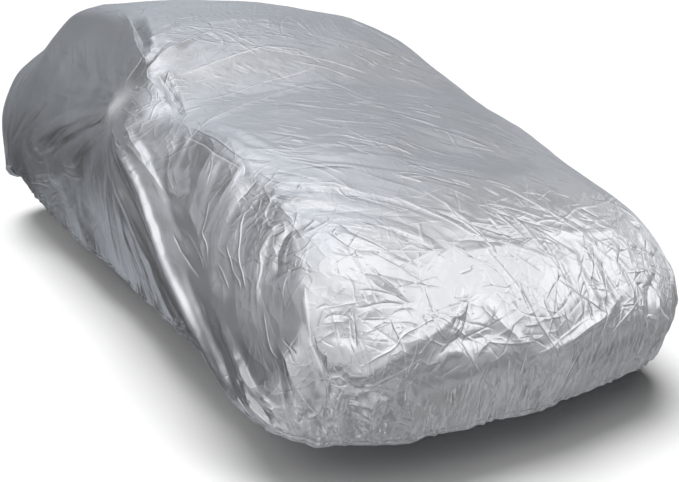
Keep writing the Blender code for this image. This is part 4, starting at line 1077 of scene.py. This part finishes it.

# %% [markdown]
# Hundreds of small wrinkles lie between the main creases. They aren't drawn one by one:
# each starts at a random place and follows the direction of the drawn creases near it,
# as real wrinkles do, for a random length. In the crumpled places, such as the corners,
# they are shorter, higher and turned at random, and in the calm places, where the cloth is
# pulled tight, they are lower. A fixed seed gives the same wrinkles each time.

# %% Crumpled and calm places, and the peaks with a painted highlight
# Crumpled places: centre, radius and strength.
CRUMPLED = (
    ((-0.70, -0.62, 1.12), 0.22, 0.3), ((-0.66, -0.90, 1.02), 0.20, 0.3),
    ((-0.72, -1.70, 0.78), 0.20, 1.0), ((-0.70, -2.08, 0.32), 0.24, 0.45),
    ((-0.58, -2.12, 0.56), 0.22, 0.5), ((-0.28, -2.20, 0.54), 0.22, 0.8),
    ((0.30, -2.18, 0.56), 0.26, 0.5), ((0.62, -2.05, 0.52), 0.26, 1.0),
    ((0.55, -1.92, 0.74), 0.16, 0.8), ((0.00, -2.05, 0.76), 0.20, 0.5),
    ((-0.52, 0.00, 1.38), 0.20, 0.4), ((0.66, -0.70, 1.10), 0.22, 0.6),
    ((0.66, 2.14, 0.80), 0.30, 0.6), ((-0.66, 2.14, 0.80), 0.30, 0.6),
)
# Calm places, where it is pulled tight.
CALM = (
    ((-0.86, -1.20, 0.80), 0.28, 0.7), ((-0.86, -1.50, 0.60), 0.34, 0.8),
    ((-0.86, -1.86, 0.50), 0.26, 0.5), ((-0.90, -0.20, 0.70), 0.60, 0.5),
    ((-0.72, -0.80, 1.06), 0.20, 0.5), ((-0.66, -2.12, 0.30), 0.20, 0.6),
)
# The two peaks: a painted highlight that brightens them, and also coating rubbed thin there.
PEAKS_RUBBED_AND_LIT = (((-0.85, -0.53, 1.04), 0.085, 0.4), ((0.85, -0.53, 1.04), 0.085, 0.4))


def nearness(points, places):
    """How far inside any of the places each point is, 0 to 1."""
    total = np.zeros(len(points))
    for centre, radius, strength in places:
        gap = np.linalg.norm(points - np.array(centre), axis=1)
        total += strength * np.exp(-((gap / radius) ** 2))
    return np.clip(total, 0, 1)


crumpled_share = (nearness(base_points, CRUMPLED) > 0.5).mean()
print("crumpled:", round(100 * crumpled_share), "% of the cover")

# %% [markdown]
# The walk of a line. All the points of the drawn creases go into a search tree, each with
# the direction of its crease. A wrinkle asks for the nearest dozen, takes their middle
# direction, and goes one step that way over the cover, again and again.

# %% Lines that follow the drawn creases
LINE_WALK = 0.012           # one step, in metres
WANDER = 0.04               # how much a line turns at each step, in radians
GUIDES_ASKED = 12           # drawn points that one direction is worked out from
GUIDE_BLEND = 0.0016        # square metres; more lets points further away have a say

guide_points = np.concatenate([line[:-1] for line, *_ in drawn + fine])
guide_steps = np.concatenate([np.diff(line, axis=0) for line, *_ in drawn + fine])
guide_steps /= np.maximum(np.linalg.norm(guide_steps, axis=1, keepdims=True), 1e-9)
guides = KDTree(len(guide_points))
for k, point in enumerate(guide_points):
    guides.insert(Vector(point), k)
guides.balance()


def flow_at(points):
    """The direction that the drawn creases near each point take."""
    found = [guides.find_n(Vector(point), GUIDES_ASKED) for point in points]
    steps = guide_steps[[[k for _, k, _ in row] for row in found]]
    gap = np.array([[far for _, _, far in row] for row in found])
    steps *= np.sign((steps * steps[:, :1]).sum(-1, keepdims=True))
    flow = (steps / (gap**2 + GUIDE_BLEND)[..., None] ** 1.5).sum(1)
    return flow / np.maximum(np.linalg.norm(flow, axis=1, keepdims=True), 1e-9)


def trails_from(place, steps, heading, follow, turn_by, draw):
    """Lines on the cover that start at places and walk a number of steps each."""
    place = place.copy()
    trails = [[] for _ in place]
    for step in range(steps.max()):
        growing = np.flatnonzero(steps > step)
        if follow:
            flow = flow_at(place[growing])
            flow *= np.where((flow * heading[growing]).sum(1) < 0, -1, 1)[:, None]
            heading[growing] = flow
        turn_by = turn_by + draw.normal(0, WANDER, len(place))
        for k in growing:
            spot, normal, _, _ = smooth_tree.find_nearest(Vector(place[k]))
            trails[k].append((spot[:], normal[:]))
            way = Matrix.Rotation(turn_by[k], 3, normal) @ Vector(heading[k])
            way -= way.dot(normal) * normal
            place[k] = spot + LINE_WALK * way.normalized()
    return [tuple(np.array(part) for part in zip(*trail)) for trail in trails]


print("guides:", len(guide_points), "points of the drawn creases")

# %% [markdown]
# The walks give the paths of the small wrinkles. Each then gets its own width, height and
# crispness by chance, and is pressed into the mesh in the same way as the drawn creases. A
# gamma draw makes most of them short and a few long.

# %% Small wrinkles
WRINKLE_SEED = 7
WRINKLES = 900
WRINKLE_WIDTHS = (0.016, 0.026)
WRINKLE_HEIGHTS = (0.7, 2.0)                # mm
WRINKLE_STEPS = (4, 45)                     # fewest and most steps in one wrinkle
WRINKLE_SPREAD, CRUMPLED_SPREAD = 0.16, 1.6 # how far they turn from the flow, in radians
TROUGHS, CRESTS = 0.45, 0.55                # shares that go in and that stand out

draw = np.random.default_rng(WRINKLE_SEED)
place = base_points[draw.choice(len(base_points), WRINKLES, replace=False)]
crumple = nearness(place, CRUMPLED)
calm = nearness(place, CALM)
steps = 3 + draw.gamma(2.2, 5.0, WRINKLES) * (1 - 0.75 * crumple)
steps = steps.astype(int).clip(*WRINKLE_STEPS)
turn_by = draw.normal(0, WRINKLE_SPREAD, WRINKLES)
turn_by += crumple * draw.uniform(-CRUMPLED_SPREAD, CRUMPLED_SPREAD, WRINKLES)
wrinkles = []
trails = trails_from(place, steps, flow_at(place), True, turn_by, draw)
for (line, normals), rough, tight in zip(trails, crumple, calm):
    width = draw.uniform(*WRINKLE_WIDTHS)
    tall = draw.uniform(*WRINKLE_HEIGHTS) / 1000 * (1 + 0.8 * rough) * (1 - tight)
    tall *= draw.choice((-1, 1), p=(TROUGHS, CRESTS))
    wrinkles.append((line, normals, width, tall, draw.uniform(0.3, 0.9), 0.0))
height += pressed_height(base_points, wrinkles)
print("small wrinkles:", len(wrinkles))

# %% [markdown]
# The sharpest creases are only a few millimetres wide, which is finer than the mesh. So
# they are drawn in the material, as bump. What the mesh stores is how far each of its
# points lies from the nearest crease, with a sign for the side. That distance changes
# evenly from point to point, so the renderer can read it in between and find the exact
# line where it is zero. One value can only serve one crease, so the creases are dealt
# out over several layers, and in each layer they keep clear of each other.

# %% Store a sharp crease
CREASE_LAYERS = 12
FULL, GONE, KNOWN = 0.016, 0.021, 0.032     # distance: full height, no height, stored
REAR_ROOM = 1.7                             # these are wider at the rear, as the mesh is
NO_CREASE_WIDTH = 0.005                     # any width does where there is no crease


def signed_distance(line, normals, reach):
    """Points near a line, how far they lie across it, and how far along it."""
    inside = (base_points > line.min(0) - reach) & (base_points < line.max(0) + reach)
    near = np.flatnonzero(inside.all(1))
    if len(near) == 0:
        return near, None, None
    across, along = across_and_along(base_points[near], line, normals)
    close = np.abs(across) < reach
    return near[close], across[close], along[close]


# One row per layer and point: distance, height and width.
crease_at = np.zeros((CREASE_LAYERS, len(base_points), 3))
crease_at[..., 0] = KNOWN
crease_at[..., 2] = NO_CREASE_WIDTH


def store_crease(line, normals, width, tall, steep_toward=None):
    """Put a crease in the first layer where it has room. Returns whether it found one.

    Its steep side is the one that it is drawn with, or faces steep_toward if that is given.
    """
    if steep_toward is not None:
        sideways = np.cross(np.diff(line, axis=0), normals[:-1]).sum(0)
        if sideways @ np.array(steep_toward) * tall < 0:
            line, normals = line[::-1], normals[::-1]
    room = np.interp(line[:, 1].mean(), (0.0, 0.5), (1.0, REAR_ROOM))
    near, across, along = signed_distance(line, normals, room * KNOWN)
    if len(near) == 0:
        return False
    for layer in crease_at:
        if not layer[near, 1].any():
            fade = np.clip((GONE - np.abs(across) / room) / (GONE - FULL), 0, 1) ** 2
            ends = np.clip(np.minimum(along, 1 - along) * 6, 0, 1)
            layer[near] = np.stack([across, tall * fade * ends, 0 * across + width], -1)
            return True
    return False


print("layers for sharp creases:", CREASE_LAYERS)

# %% [markdown]
# The drawn creases come first, so that they find room: the fine ones, and a sharp
# middle for each wide fold that has a crisp crest. Their steep side faces the nose, where
# most of the light comes from, so that they show as bright lines.

# %% The drawn creases made sharp
DRAWN_WIDTH, DRAWN_HEIGHT = 0.0035, 0.0022      # the sharp middle of a wide drawn crease
DRAWN_FULL = 0.008                              # it is lower on a crease lower than this
CRISP_FROM = 0.4                                # folds less crisp than this stay soft
LIT_SIDE = (0, -1, 0.5)                         # the steep side of a drawn crease faces this way
kept = sum(store_crease(*row, LIT_SIDE) for row in fine)
kept += sum(
    store_crease(
        line, normals, DRAWN_WIDTH, DRAWN_HEIGHT * crisp * max(-1, min(1, tall / DRAWN_FULL)),
        LIT_SIDE,
    )
    for line, normals, width, tall, crisp, _ in drawn if crisp >= CRISP_FROM
)
print("drawn creases made sharp:", kept)

# %% [markdown]
# The rest come in families. Each part of the cover has its own: short ones in all
# directions where it is crumpled, upright pleats low on the nose, slanting streaks on the
# bonnet, ripples on the screen, long thin lines along the roof. Most creases of a family
# are low and short, and a few are high and long, as on real cloth.

# %% Sharp creases, in families
CREASE_SEED = 11
UPWARD_SHARE = 0.6          # of the creases; the others are troughs
# How many, centre, reach, direction (None follows the drawn creases), spread in radians,
# lengths in metres, widths and heights in millimetres.
FAMILIES = {
    "nose_crumple": (
        440, (0.0, -2.10, 0.64), (0.90, 0.42, 0.22), None, 0.9,
        (0.05, 0.34), (2.5, 6.0), (0.5, 2.6),
    ),
    "nose_pleats": (
        700, (0.0, -2.20, 0.28), (0.90, 0.40, 0.18), (0.05, 0.0, -1.0), 0.13,
        (0.08, 0.32), (3.0, 7.0), (0.5, 2.4),
    ),
    "bonnet_streaks": (
        300, (0.0, -1.55, 0.88), (0.72, 0.65, 0.30), (0.64, -0.77, 0.0), 0.25,
        (0.07, 0.38), (4.0, 9.0), (0.6, 2.6),
    ),
    "bonnet_cross": (
        60, (0.0, -1.50, 0.88), (0.70, 0.60, 0.28), (1.0, 0.0, 0.0), 3.1,
        (0.05, 0.25), (2.2, 3.6), (0.4, 1.6),
    ),
    "screen_ripples": (
        250, (0.05, -0.72, 1.14), (0.62, 0.46, 0.30), (0.80, -0.60, 0.0), 0.22,
        (0.05, 0.24), (7.0, 13.0), (0.6, 1.9),
    ),
    "screen_lines": (
        40, (0.0, -0.60, 1.18), (0.62, 0.50, 0.28), (1.0, 0.15, 0.0), 0.30,
        (0.12, 0.50), (2.2, 3.6), (0.6, 1.6),
    ),
    "roof_lines": (
        340, (0.05, 0.30, 1.42), (0.66, 1.05, 0.20), (0.12, 1.0, 0.0), 0.20,
        (0.10, 0.70), (3.0, 6.0), (0.5, 2.2),
    ),
    "roof_front": (
        160, (-0.35, -0.20, 1.38), (0.36, 0.32, 0.16), (1.0, -0.45, 0.0), 0.4,
        (0.06, 0.36), (2.6, 5.0), (0.6, 2.4),
    ),
    "near_front": (
        300, (-0.85, -1.45, 0.60), (0.40, 0.85, 0.50), None, 0.08,
        (0.08, 0.60), (3.0, 6.5), (0.4, 1.8),
    ),
    "far_front": (
        300, (0.85, -1.45, 0.60), (0.40, 0.85, 0.50), None, 0.10,
        (0.10, 0.60), (3.5, 7.0), (0.6, 2.4),
    ),
    "near_rear": (
        340, (-0.85, 0.55, 0.80), (0.45, 1.20, 0.55), None, 0.10,
        (0.10, 0.60), (3.5, 7.0), (0.4, 1.8),
    ),
    "far_rear": (
        260, (0.85, 0.55, 0.80), (0.45, 1.20, 0.55), None, 0.10,
        (0.10, 0.60), (4.0, 8.0), (0.4, 1.8),
    ),
    "rear_slope": (
        260, (0.0, 1.75, 1.02), (0.75, 0.60, 0.35), None, 0.5,
        (0.08, 0.45), (4.0, 7.0), (0.6, 2.4),
    ),
    "tail": (
        300, (0.0, 2.35, 0.58), (0.90, 0.40, 0.38), (0.0, 0.0, -1.0), 0.3,
        (0.08, 0.36), (4.0, 7.0), (0.6, 2.6),
    ),
    "near_corner": (
        120, (-0.68, -2.08, 0.34), (0.30, 0.32, 0.26), None, 1.2,
        (0.05, 0.16), (3.0, 6.0), (0.8, 3.0),
    ),
    "far_corner": (
        260, (0.62, -2.05, 0.48), (0.30, 0.32, 0.36), None, 0.9,
        (0.04, 0.18), (2.4, 5.0), (0.8, 3.0),
    ),
    "screen_side": (
        70, (-0.68, -0.60, 1.14), (0.26, 0.34, 0.26), None, 0.6,
        (0.04, 0.16), (2.4, 4.5), (0.5, 2.0),
    ),
    "bonnet_corner": (
        220, (-0.72, -1.72, 0.78), (0.26, 0.32, 0.24), None, 1.6,
        (0.04, 0.14), (2.2, 4.0), (0.7, 2.4),
    ),
    "near_tail_corner": (
        160, (-0.68, 2.22, 0.66), (0.34, 0.36, 0.42), None, 0.6,
        (0.06, 0.28), (4.0, 7.0), (0.6, 2.6),
    ),
    "far_tail_corner": (
        160, (0.68, 2.22, 0.66), (0.34, 0.36, 0.42), None, 0.6,
        (0.06, 0.28), (4.0, 7.0), (0.6, 2.6),
    ),
}


def mostly_low(draw, low, high, count):
    """Random numbers, of which most are near the low end."""
    return low + (high - low) * draw.uniform(0, 1, count) ** 2


draw = np.random.default_rng(CREASE_SEED)
for name, row in FAMILIES.items():
    count, centre, reach, toward, spread, lengths, widths, heights = row
    within = (((base_points - centre) / reach) ** 2).sum(1) < 1
    place = base_points[draw.choice(np.flatnonzero(within), count)]
    heading = flow_at(place) if toward is None else np.tile(np.array(toward, float), (count, 1))
    steps = (mostly_low(draw, *lengths, count) / LINE_WALK).astype(int).clip(3)
    turn_by = draw.normal(0, spread, count)
    trails = trails_from(place, steps, heading, toward is None and spread < 0.5, turn_by, draw)
    width = draw.uniform(*widths, count) / 1000
    tall = mostly_low(draw, *heights, count) / 1000
    tall *= draw.choice((-1, 1), count, p=(1 - UPWARD_SHARE, UPWARD_SHARE))
    tall *= 1 - nearness(place, CALM)
    kept = sum(store_crease(*trail, *size) for trail, *size in zip(trails, width, tall))
    print(f"{name}: {kept} of {count} creases found room")

# %% [markdown]
# The cloth is also a little slack all over, and the elastic in the hem gathers it into
# short upright ripples just above the edge. The edge itself goes up and down a little.
# The hem is found by walking along the open edge of the mesh, because the gathers have to
# follow one another along it.

# %% Slack and gathers
SLACK = ((0.34, 0.005), (0.12, 0.0018))     # size and height of the slack's swells
GATHER_PITCH, GATHER_DEPTH, GATHER_REACH = 0.050, 0.0055, 0.10
HEM_UNEVEN = ((0.16, 0.014), (0.05, 0.006))     # length and height of the edge's ups and downs
LOW_HALF = 0.85                                 # the hem is sought for points below this height

for size, rise in SLACK:
    height += rise * np.array([noise.noise(Vector(p) / size) for p in base_points])
hem_index = np.array([v.index for v in cover.verts if v.is_boundary])
loop = []
vert = cover.verts[int(hem_index[0])]
seen = set()
while vert is not None:
    seen.add(vert.index)
    loop.append(vert.index)
    following = [e.other_vert(vert) for e in vert.link_edges if e.is_boundary]
    vert = next((v for v in following if v.index not in seen), None)
hem_loop = base_points[loop]
hem_run = np.r_[0, np.cumsum(np.linalg.norm(np.diff(hem_loop, axis=0), axis=1))]
hem_tree = KDTree(len(loop))
for k, point in enumerate(hem_loop):
    hem_tree.insert(Vector(point), k)
hem_tree.balance()
low = base_points[:, 2] < LOW_HALF
nearest = [hem_tree.find(Vector(p))[1:] for p in base_points[low]]
run = hem_run[[k for k, _ in nearest]]
above = np.array([gap for _, gap in nearest])
phase = 2 * math.pi * run / GATHER_PITCH
ripple = np.sin(phase + 2.2 * np.sin(phase / 3.7) + 1.3 * np.sin(phase / 8.9))
ripple *= 0.55 + 0.45 * np.sin(phase / 5.3 + 1.0)
near_edge = np.clip(1 - above / GATHER_REACH, 0, 1) ** 1.5
height[low] += GATHER_DEPTH * ripple * near_edge
lift = np.zeros(len(base_points))
for size, rise in HEM_UNEVEN:
    lift[low] += rise * near_edge * [noise.noise((r / size, size, 0)) for r in run]
print("hem length:", round(float(hem_run[-1]), 2), "m")

# %% [markdown]
# Now every point moves out or in along its normal by all the heights together. Along the
# seams the cloth dips a little, as where two layers are sewn together and turned in.

# %% Move the points
SEAM_DIP = 0.0004
EVENING = 0.4               # evens out the last spikes, as a share of the way

seam_verts = [
    v.index for v in cover.verts if len({f.material_index for f in v.link_faces}) > 1
]
height[seam_verts] -= SEAM_DIP
folded = base_points + base_normals * height[:, None] + np.outer(lift, (0, 0, 1))
source_layer = cover.verts.layers.int.new("source")
inward_layer = cover.verts.layers.float_vector.new("inward")
above_hem = np.full(len(base_points), 1.0)
above_hem[low] = above
for k, vert in enumerate(cover.verts):
    vert.co = to_part(folded[k])
    vert[source_layer] = k
    vert[inward_layer] = -Vector((*base_normals[k][:2], 0)).normalized()
bmesh.ops.smooth_vert(
    cover, verts=[v for v in cover.verts if not v.is_boundary], factor=EVENING,
    use_axis_x=True, use_axis_y=True, use_axis_z=True,
)
# Splitting each face across its shorter way makes the edges follow the folds.
bmesh.ops.triangulate(cover, faces=cover.faces, quad_method="SHORT_EDGE")
stored = {
    "crumple": nearness(base_points, CRUMPLED), "above_hem": above_hem,
    # the two peaks, where a painted highlight goes along with the rubbed coating
    "peak_rub_and_highlight": nearness(base_points, PEAKS_RUBBED_AND_LIT),
}
hem_edges = {frozenset(v.co.to_tuple(6) for v in e.verts) for e in cover.edges if e.is_boundary}
print("on the hem:", len(hem_edges), "edges")

# %% [markdown]
# The folded mesh becomes three pieces of cloth, one for each panel: a copy of the whole
# cover with the other panels deleted. At the hem the cloth turns in under the cover,
# because an elastic runs in it, so that edge is extruded three times, inwards and up. The
# Solidify modifier gives the piece the thickness of the cloth and puts the soft backing,
# the second material, on its inner face.

# %% Three pieces of cloth
HEM_TURNS = ((0.007, -0.004), (0.010, 0.001), (0.009, 0.006))   # in and up, in metres
CLOTH_THICKNESS = 0.0012

SHEETS = {}
for panel, name in enumerate(PANELS):
    bm = cover.copy()
    others = [f for f in bm.faces if f.material_index != panel]
    bmesh.ops.delete(bm, geom=others, context="FACES")
    for face in bm.faces:
        face.material_index = 0
    inward = bm.verts.layers.float_vector["inward"]
    edges = [
        e for e in bm.edges
        if e.is_boundary and frozenset(v.co.to_tuple(6) for v in e.verts) in hem_edges
    ]
    for step_in, step_up in HEM_TURNS:
        made = bmesh.ops.extrude_edge_only(bm, edges=edges)["geom"]
        for vert in (part for part in made if isinstance(part, bmesh.types.BMVert)):
            vert.co += step_in * Vector(vert[inward]) + Vector((0, 0, step_up))
        edges = [part for part in made if isinstance(part, bmesh.types.BMEdge)]
    area = sum(face.calc_area() for face in bm.faces)
    for face in bm.faces:
        face.smooth = True
    for edge in bm.edges:
        edge.smooth = not edge.is_boundary
    source = [v[bm.verts.layers.int["source"]] for v in bm.verts]
    mesh = bpy.data.meshes.new(f"{name}_cloth")
    bm.to_mesh(mesh)
    bm.free()
    for label, values in stored.items():
        mesh.attributes.new(label, "FLOAT", "POINT").data.foreach_set("value", values[source])
    for number, layer in enumerate(crease_at):
        added = mesh.attributes.new(f"crease_{number}", "FLOAT_VECTOR", "POINT")
        added.data.foreach_set("vector", layer[source].ravel())
    piece = bpy.data.objects.new(f"{name}_cloth", mesh)
    bpy.context.scene.collection.objects.link(piece)
    wall = piece.modifiers.new("thickness", "SOLIDIFY")
    wall.thickness = CLOTH_THICKNESS
    wall.offset = -1
    wall.material_offset = 1
    SHEETS[name] = (piece, area)
    print(name, "cloth:", len(mesh.vertices), "points,", round(area, 3), "square metres")
cover.free()

# %% [markdown]
# The cloth is a woven polyester with an aluminium coating. The coating makes it a dull
# mirror: a metal with a middling roughness. It has been folded and crushed many times, so
# it keeps a web of sharp creases. The material draws them from the distances stored on
# the mesh: each is a thin ridge or trough with a sharp crest, and one side steeper than
# the other, as cloth folds. A bump of exp(-distance) has such a crest.

# %% A sharp crest
CREST_POWER = 1.25                          # 1 is a sharp crest and 2 a round one
STEEP_SIDE, GENTLE_SIDE = 0.70, 1.60        # widths of a crease's two sides, as shares


def crest(tree, distance, height, width):
    """A ridge with a sharp crest where the distance is zero, and one side the steeper."""
    scaled = add_node(
        tree, "ShaderNodeMath", {0: distance, 1: width}, operation="DIVIDE"
    ).outputs[0]
    steep = add_node(
        tree, "ShaderNodeMath", {0: scaled, 1: STEEP_SIDE}, operation="DIVIDE"
    ).outputs[0]
    gentle = add_node(
        tree, "ShaderNodeMath", {0: scaled, 1: -GENTLE_SIDE}, operation="DIVIDE"
    ).outputs[0]
    away = add_node(tree, "ShaderNodeMath", {0: steep, 1: gentle}, operation="MAXIMUM").outputs[0]
    away = add_node(tree, "ShaderNodeMath", {0: away, 1: CREST_POWER}, operation="POWER").outputs[0]
    away = add_node(tree, "ShaderNodeMath", {0: away, 1: -1.0}, operation="MULTIPLY").outputs[0]
    near = add_node(tree, "ShaderNodeMath", {0: away}, operation="EXPONENT").outputs[0]
    return add_node(tree, "ShaderNodeMath", {0: height, 1: near}, operation="MULTIPLY").outputs[0]


def stored_creases(tree):
    """The relief of the creases that the mesh stores, and the highest crest at each place."""
    relief, highest = 0.0, 0.0
    for number in range(CREASE_LAYERS):
        stored_at = add_node(tree, "ShaderNodeAttribute", attribute_name=f"crease_{number}")
        parts = add_node(tree, "ShaderNodeSeparateXYZ", {0: stored_at.outputs["Vector"]}).outputs
        ridge = crest(tree, parts["X"], parts["Y"], parts["Z"])
        relief = add_node(
            tree, "ShaderNodeMath", {0: relief, 1: ridge}, operation="ADD"
        ).outputs[0]
        highest = add_node(
            tree, "ShaderNodeMath", {0: highest, 1: ridge}, operation="MAXIMUM"
        ).outputs[0]
    return relief, highest


print("a crest falls to", round(math.exp(-1), 2), "of its height one width away")

# %% [markdown]
# Finer still are a crinkle with straight edges, from the borders of a cell pattern, and
# strongest where the cloth is crumpled; low swells; the grain of the weave; and the line
# of stitches that holds the elastic in the hem. The real weave has about 20 threads to the
# centimetre, far too fine to show, so its grain is drawn ten times as coarse.

# %% Crinkle, swells, grain and stitches
CRINKLE_MM, CRINKLE_HEIGHT_MM, CRINKLE_EDGE = 75, 0.60, 0.10    # cell, height, edge as a share
BEND_MM, BEND_DEPTH = 140, 0.16             # the cells' straight borders are bent a little
SWELL_MM, SWELL_HEIGHT_MM = 90, 2.0
GRAIN_MM, GRAIN_HEIGHT_MM = 5, 0.013
STITCH_ABOVE_EDGE, STITCH_DEPTH, STITCH_WIDTH = 0.020, 0.0012, 0.003    # metres


def per_metre(millimetres):
    """A texture scale that gives features of this size."""
    return 1000 / millimetres


def crinkle(tree, place, loose):
    """Thin ridges along the borders of cells, as high as the cloth is loose."""
    bend = add_node(
        tree, "ShaderNodeTexNoise",
        {"Vector": place, "Scale": per_metre(BEND_MM), "Detail": 1.0},
    ).outputs["Color"]
    bend = add_node(
        tree, "ShaderNodeVectorMath", {0: bend, 1: (0.5, 0.5, 0.5)}, operation="SUBTRACT"
    ).outputs[0]
    bend = add_node(
        tree, "ShaderNodeVectorMath", {0: bend, "Scale": BEND_DEPTH}, operation="SCALE"
    ).outputs[0]
    bent = add_node(
        tree, "ShaderNodeVectorMath", {0: place, 1: bend}, operation="ADD"
    ).outputs[0]
    cells = add_node(
        tree, "ShaderNodeTexVoronoi", {"Vector": bent, "Scale": per_metre(CRINKLE_MM)},
        feature="DISTANCE_TO_EDGE",
    ).outputs["Distance"]
    ridge = crest(tree, cells, CRINKLE_HEIGHT_MM / 1000, CRINKLE_EDGE)
    return add_node(tree, "ShaderNodeMath", {0: ridge, 1: loose}, operation="MULTIPLY").outputs[0]


def wavy(tree, place, millimetres, height_mm, detail):
    """A soft uneven relief of this size and height."""
    waves = add_node(
        tree, "ShaderNodeTexNoise",
        {"Vector": place, "Scale": per_metre(millimetres), "Detail": detail},
    ).outputs["Fac"]
    return add_node(
        tree, "ShaderNodeMath", {0: waves, 1: height_mm / 1000}, operation="MULTIPLY"
    ).outputs[0]


def stitches(tree):
    """The line of stitches above the hem, pressed into the cloth."""
    above_edge = add_node(tree, "ShaderNodeAttribute", attribute_name="above_hem").outputs["Fac"]
    away = add_node(
        tree, "ShaderNodeMath", {0: above_edge, 1: STITCH_ABOVE_EDGE}, operation="SUBTRACT"
    ).outputs[0]
    return crest(tree, away, -STITCH_DEPTH, STITCH_WIDTH)


print("crinkle:", CRINKLE_MM, "mm, swells:", SWELL_MM, "mm, grain:", GRAIN_MM, "mm")

# %% [markdown]
# A metal takes its whole look from its colour, its roughness and what it mirrors. Bare
# aluminium is nearly white, so the coating is a very light grey, slightly duller in
# patches. Along the highest crests and on the two peaks the material is made less
# metallic, so its pale colour shows brighter there. This is partly wear, coating rubbed
# thin over the pale cloth, and partly a painted highlight: it paints the thin bright lines
# that glints of light would draw on the crests.

# %% Silver cloth
COATING_HEX, DULLER_HEX = "#FBFCFE", "#ECEDF1"
METALLIC = 0.90
ROUGHNESS = (0.20, 0.27)                    # of the brightest and the dullest patches
# Less metallic on the highest crests: partly wear, partly a painted highlight that draws bright crease
# lines.
WEAR_AND_GLINT_FROM, WEAR_AND_GLINT_TO, WEAR_AND_GLINT_MOST = 0.0011, 0.0030, 0.6     # crest heights, and most wear
DULL_PATCH_MM = 260
# The pattern of patches lies around 0.5. These are the values it has at both ends of what
# it drives, and how loose the cloth is there.
GLOSS_FROM, GLOSS_TO = 0.3, 0.7
LOOSE_FROM, LOOSE_TO = 0.38, 0.62
LOOSE = (0.2, 0.9)


def silver_cloth():
    material = bpy.data.materials.new("aluminium_coated_polyester")
    material.use_nodes = True
    tree = material.node_tree
    shader = tree.nodes["Principled BSDF"]
    place = add_node(tree, "ShaderNodeTexCoord").outputs["Object"]
    patches = add_node(
        tree, "ShaderNodeTexNoise",
        {"Vector": place, "Scale": per_metre(DULL_PATCH_MM), "Detail": 2.0},
    ).outputs["Fac"]

    # Relief.
    crumple = add_node(tree, "ShaderNodeAttribute", attribute_name="crumple").outputs["Fac"]
    loose = add_node(
        tree, "ShaderNodeMapRange",
        {
            "Value": patches, "From Min": LOOSE_FROM, "From Max": LOOSE_TO,
            "To Min": LOOSE[0], "To Max": LOOSE[1],
        },
    ).outputs["Result"]
    loose = add_node(tree, "ShaderNodeMath", {0: loose, 1: crumple}, operation="ADD").outputs[0]
    relief, highest = stored_creases(tree)
    for finer in (
        crinkle(tree, place, loose), wavy(tree, place, SWELL_MM, SWELL_HEIGHT_MM, 2.0),
        wavy(tree, place, GRAIN_MM, GRAIN_HEIGHT_MM, 1.0), stitches(tree),
    ):
        relief = add_node(
            tree, "ShaderNodeMath", {0: relief, 1: finer}, operation="ADD"
        ).outputs[0]
    bump = add_node(tree, "ShaderNodeBump", {"Height": relief, "Distance": 1.0})
    tree.links.new(bump.outputs["Normal"], shader.inputs["Normal"])

    # Colour and gloss.
    colour = add_node(
        tree, "ShaderNodeMix",
        {"Factor": patches, 6: linear(COATING_HEX), 7: linear(DULLER_HEX)}, data_type="RGBA",
    )
    tree.links.new(colour.outputs[2], shader.inputs["Base Color"])
    dull = add_node(
        tree, "ShaderNodeMapRange",
        {
            "Value": patches, "From Min": GLOSS_FROM, "From Max": GLOSS_TO,
            "To Min": ROUGHNESS[0], "To Max": ROUGHNESS[1],
        },
    ).outputs["Result"]
    tree.links.new(dull, shader.inputs["Roughness"])

    # Wear, and painted highlight: the coating is less metallic on the highest crests and on the peaks.
    wear_and_glint = add_node(
        tree, "ShaderNodeMapRange",
        {"Value": highest, "From Min": WEAR_AND_GLINT_FROM, "From Max": WEAR_AND_GLINT_TO, "To Max": WEAR_AND_GLINT_MOST},
    ).outputs["Result"]
    peak_rub_and_highlight = add_node(tree, "ShaderNodeAttribute", attribute_name="peak_rub_and_highlight").outputs["Fac"]
    wear_and_glint = add_node(tree, "ShaderNodeMath", {0: wear_and_glint, 1: peak_rub_and_highlight}, operation="MAXIMUM").outputs[0]
    metal = add_node(tree, "ShaderNodeMapRange", {"Value": wear_and_glint, "To Min": METALLIC, "To Max": 0})
    tree.links.new(metal.outputs["Result"], shader.inputs["Metallic"])
    return material


silver = silver_cloth()
print("coating:", silver.name, "with", len(silver.node_tree.nodes), "nodes")

# %% [markdown]
# The inner face is the bare cloth: a matt light grey with a fibre pattern and the faint
# sheen of brushed polyester. It shows only where the hem turns in. Fibres are far thinner
# than a millimetre, so the pattern is drawn at 4 mm to show at all.

# %% Backing
FIBRE_MM, FIBRE_HEIGHT = 4, 0.0006
BACKING_HEX, FIBRE_HEX = "#B4B6BA", "#9A9CA1"


def backing():
    material = bpy.data.materials.new("uncoated_backing")
    material.use_nodes = True
    tree = material.node_tree
    shader = tree.nodes["Principled BSDF"]
    place = add_node(tree, "ShaderNodeTexCoord").outputs["Object"]
    fibre = add_node(
        tree, "ShaderNodeTexNoise",
        {"Vector": place, "Scale": per_metre(FIBRE_MM), "Detail": 3.0},
    ).outputs["Fac"]
    colour = add_node(
        tree, "ShaderNodeMix",
        {"Factor": fibre, 6: linear(BACKING_HEX), 7: linear(FIBRE_HEX)}, data_type="RGBA",
    )
    tree.links.new(colour.outputs[2], shader.inputs["Base Color"])
    shader.inputs["Roughness"].default_value = 0.85
    shader.inputs["Sheen Weight"].default_value = 0.2
    bump = add_node(tree, "ShaderNodeBump", {"Height": fibre, "Distance": FIBRE_HEIGHT})
    tree.links.new(bump.outputs["Normal"], shader.inputs["Normal"])
    return material


inside = backing()
for piece, _ in SHEETS.values():
    piece.data.materials.append(silver)
    piece.data.materials.append(inside)
print("materials:", silver.name, "and", inside.name)

# %% [markdown]
# Each piece rides on the part's one body and stands for its solid, which is hidden. Its
# area was measured on the mesh.

# %% Ride and replace
for name, (piece, area) in SHEETS.items():
    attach(piece, "root")
    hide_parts(f"{name}_panel")
    print(piece.name, "stands for", f"{name}_panel")
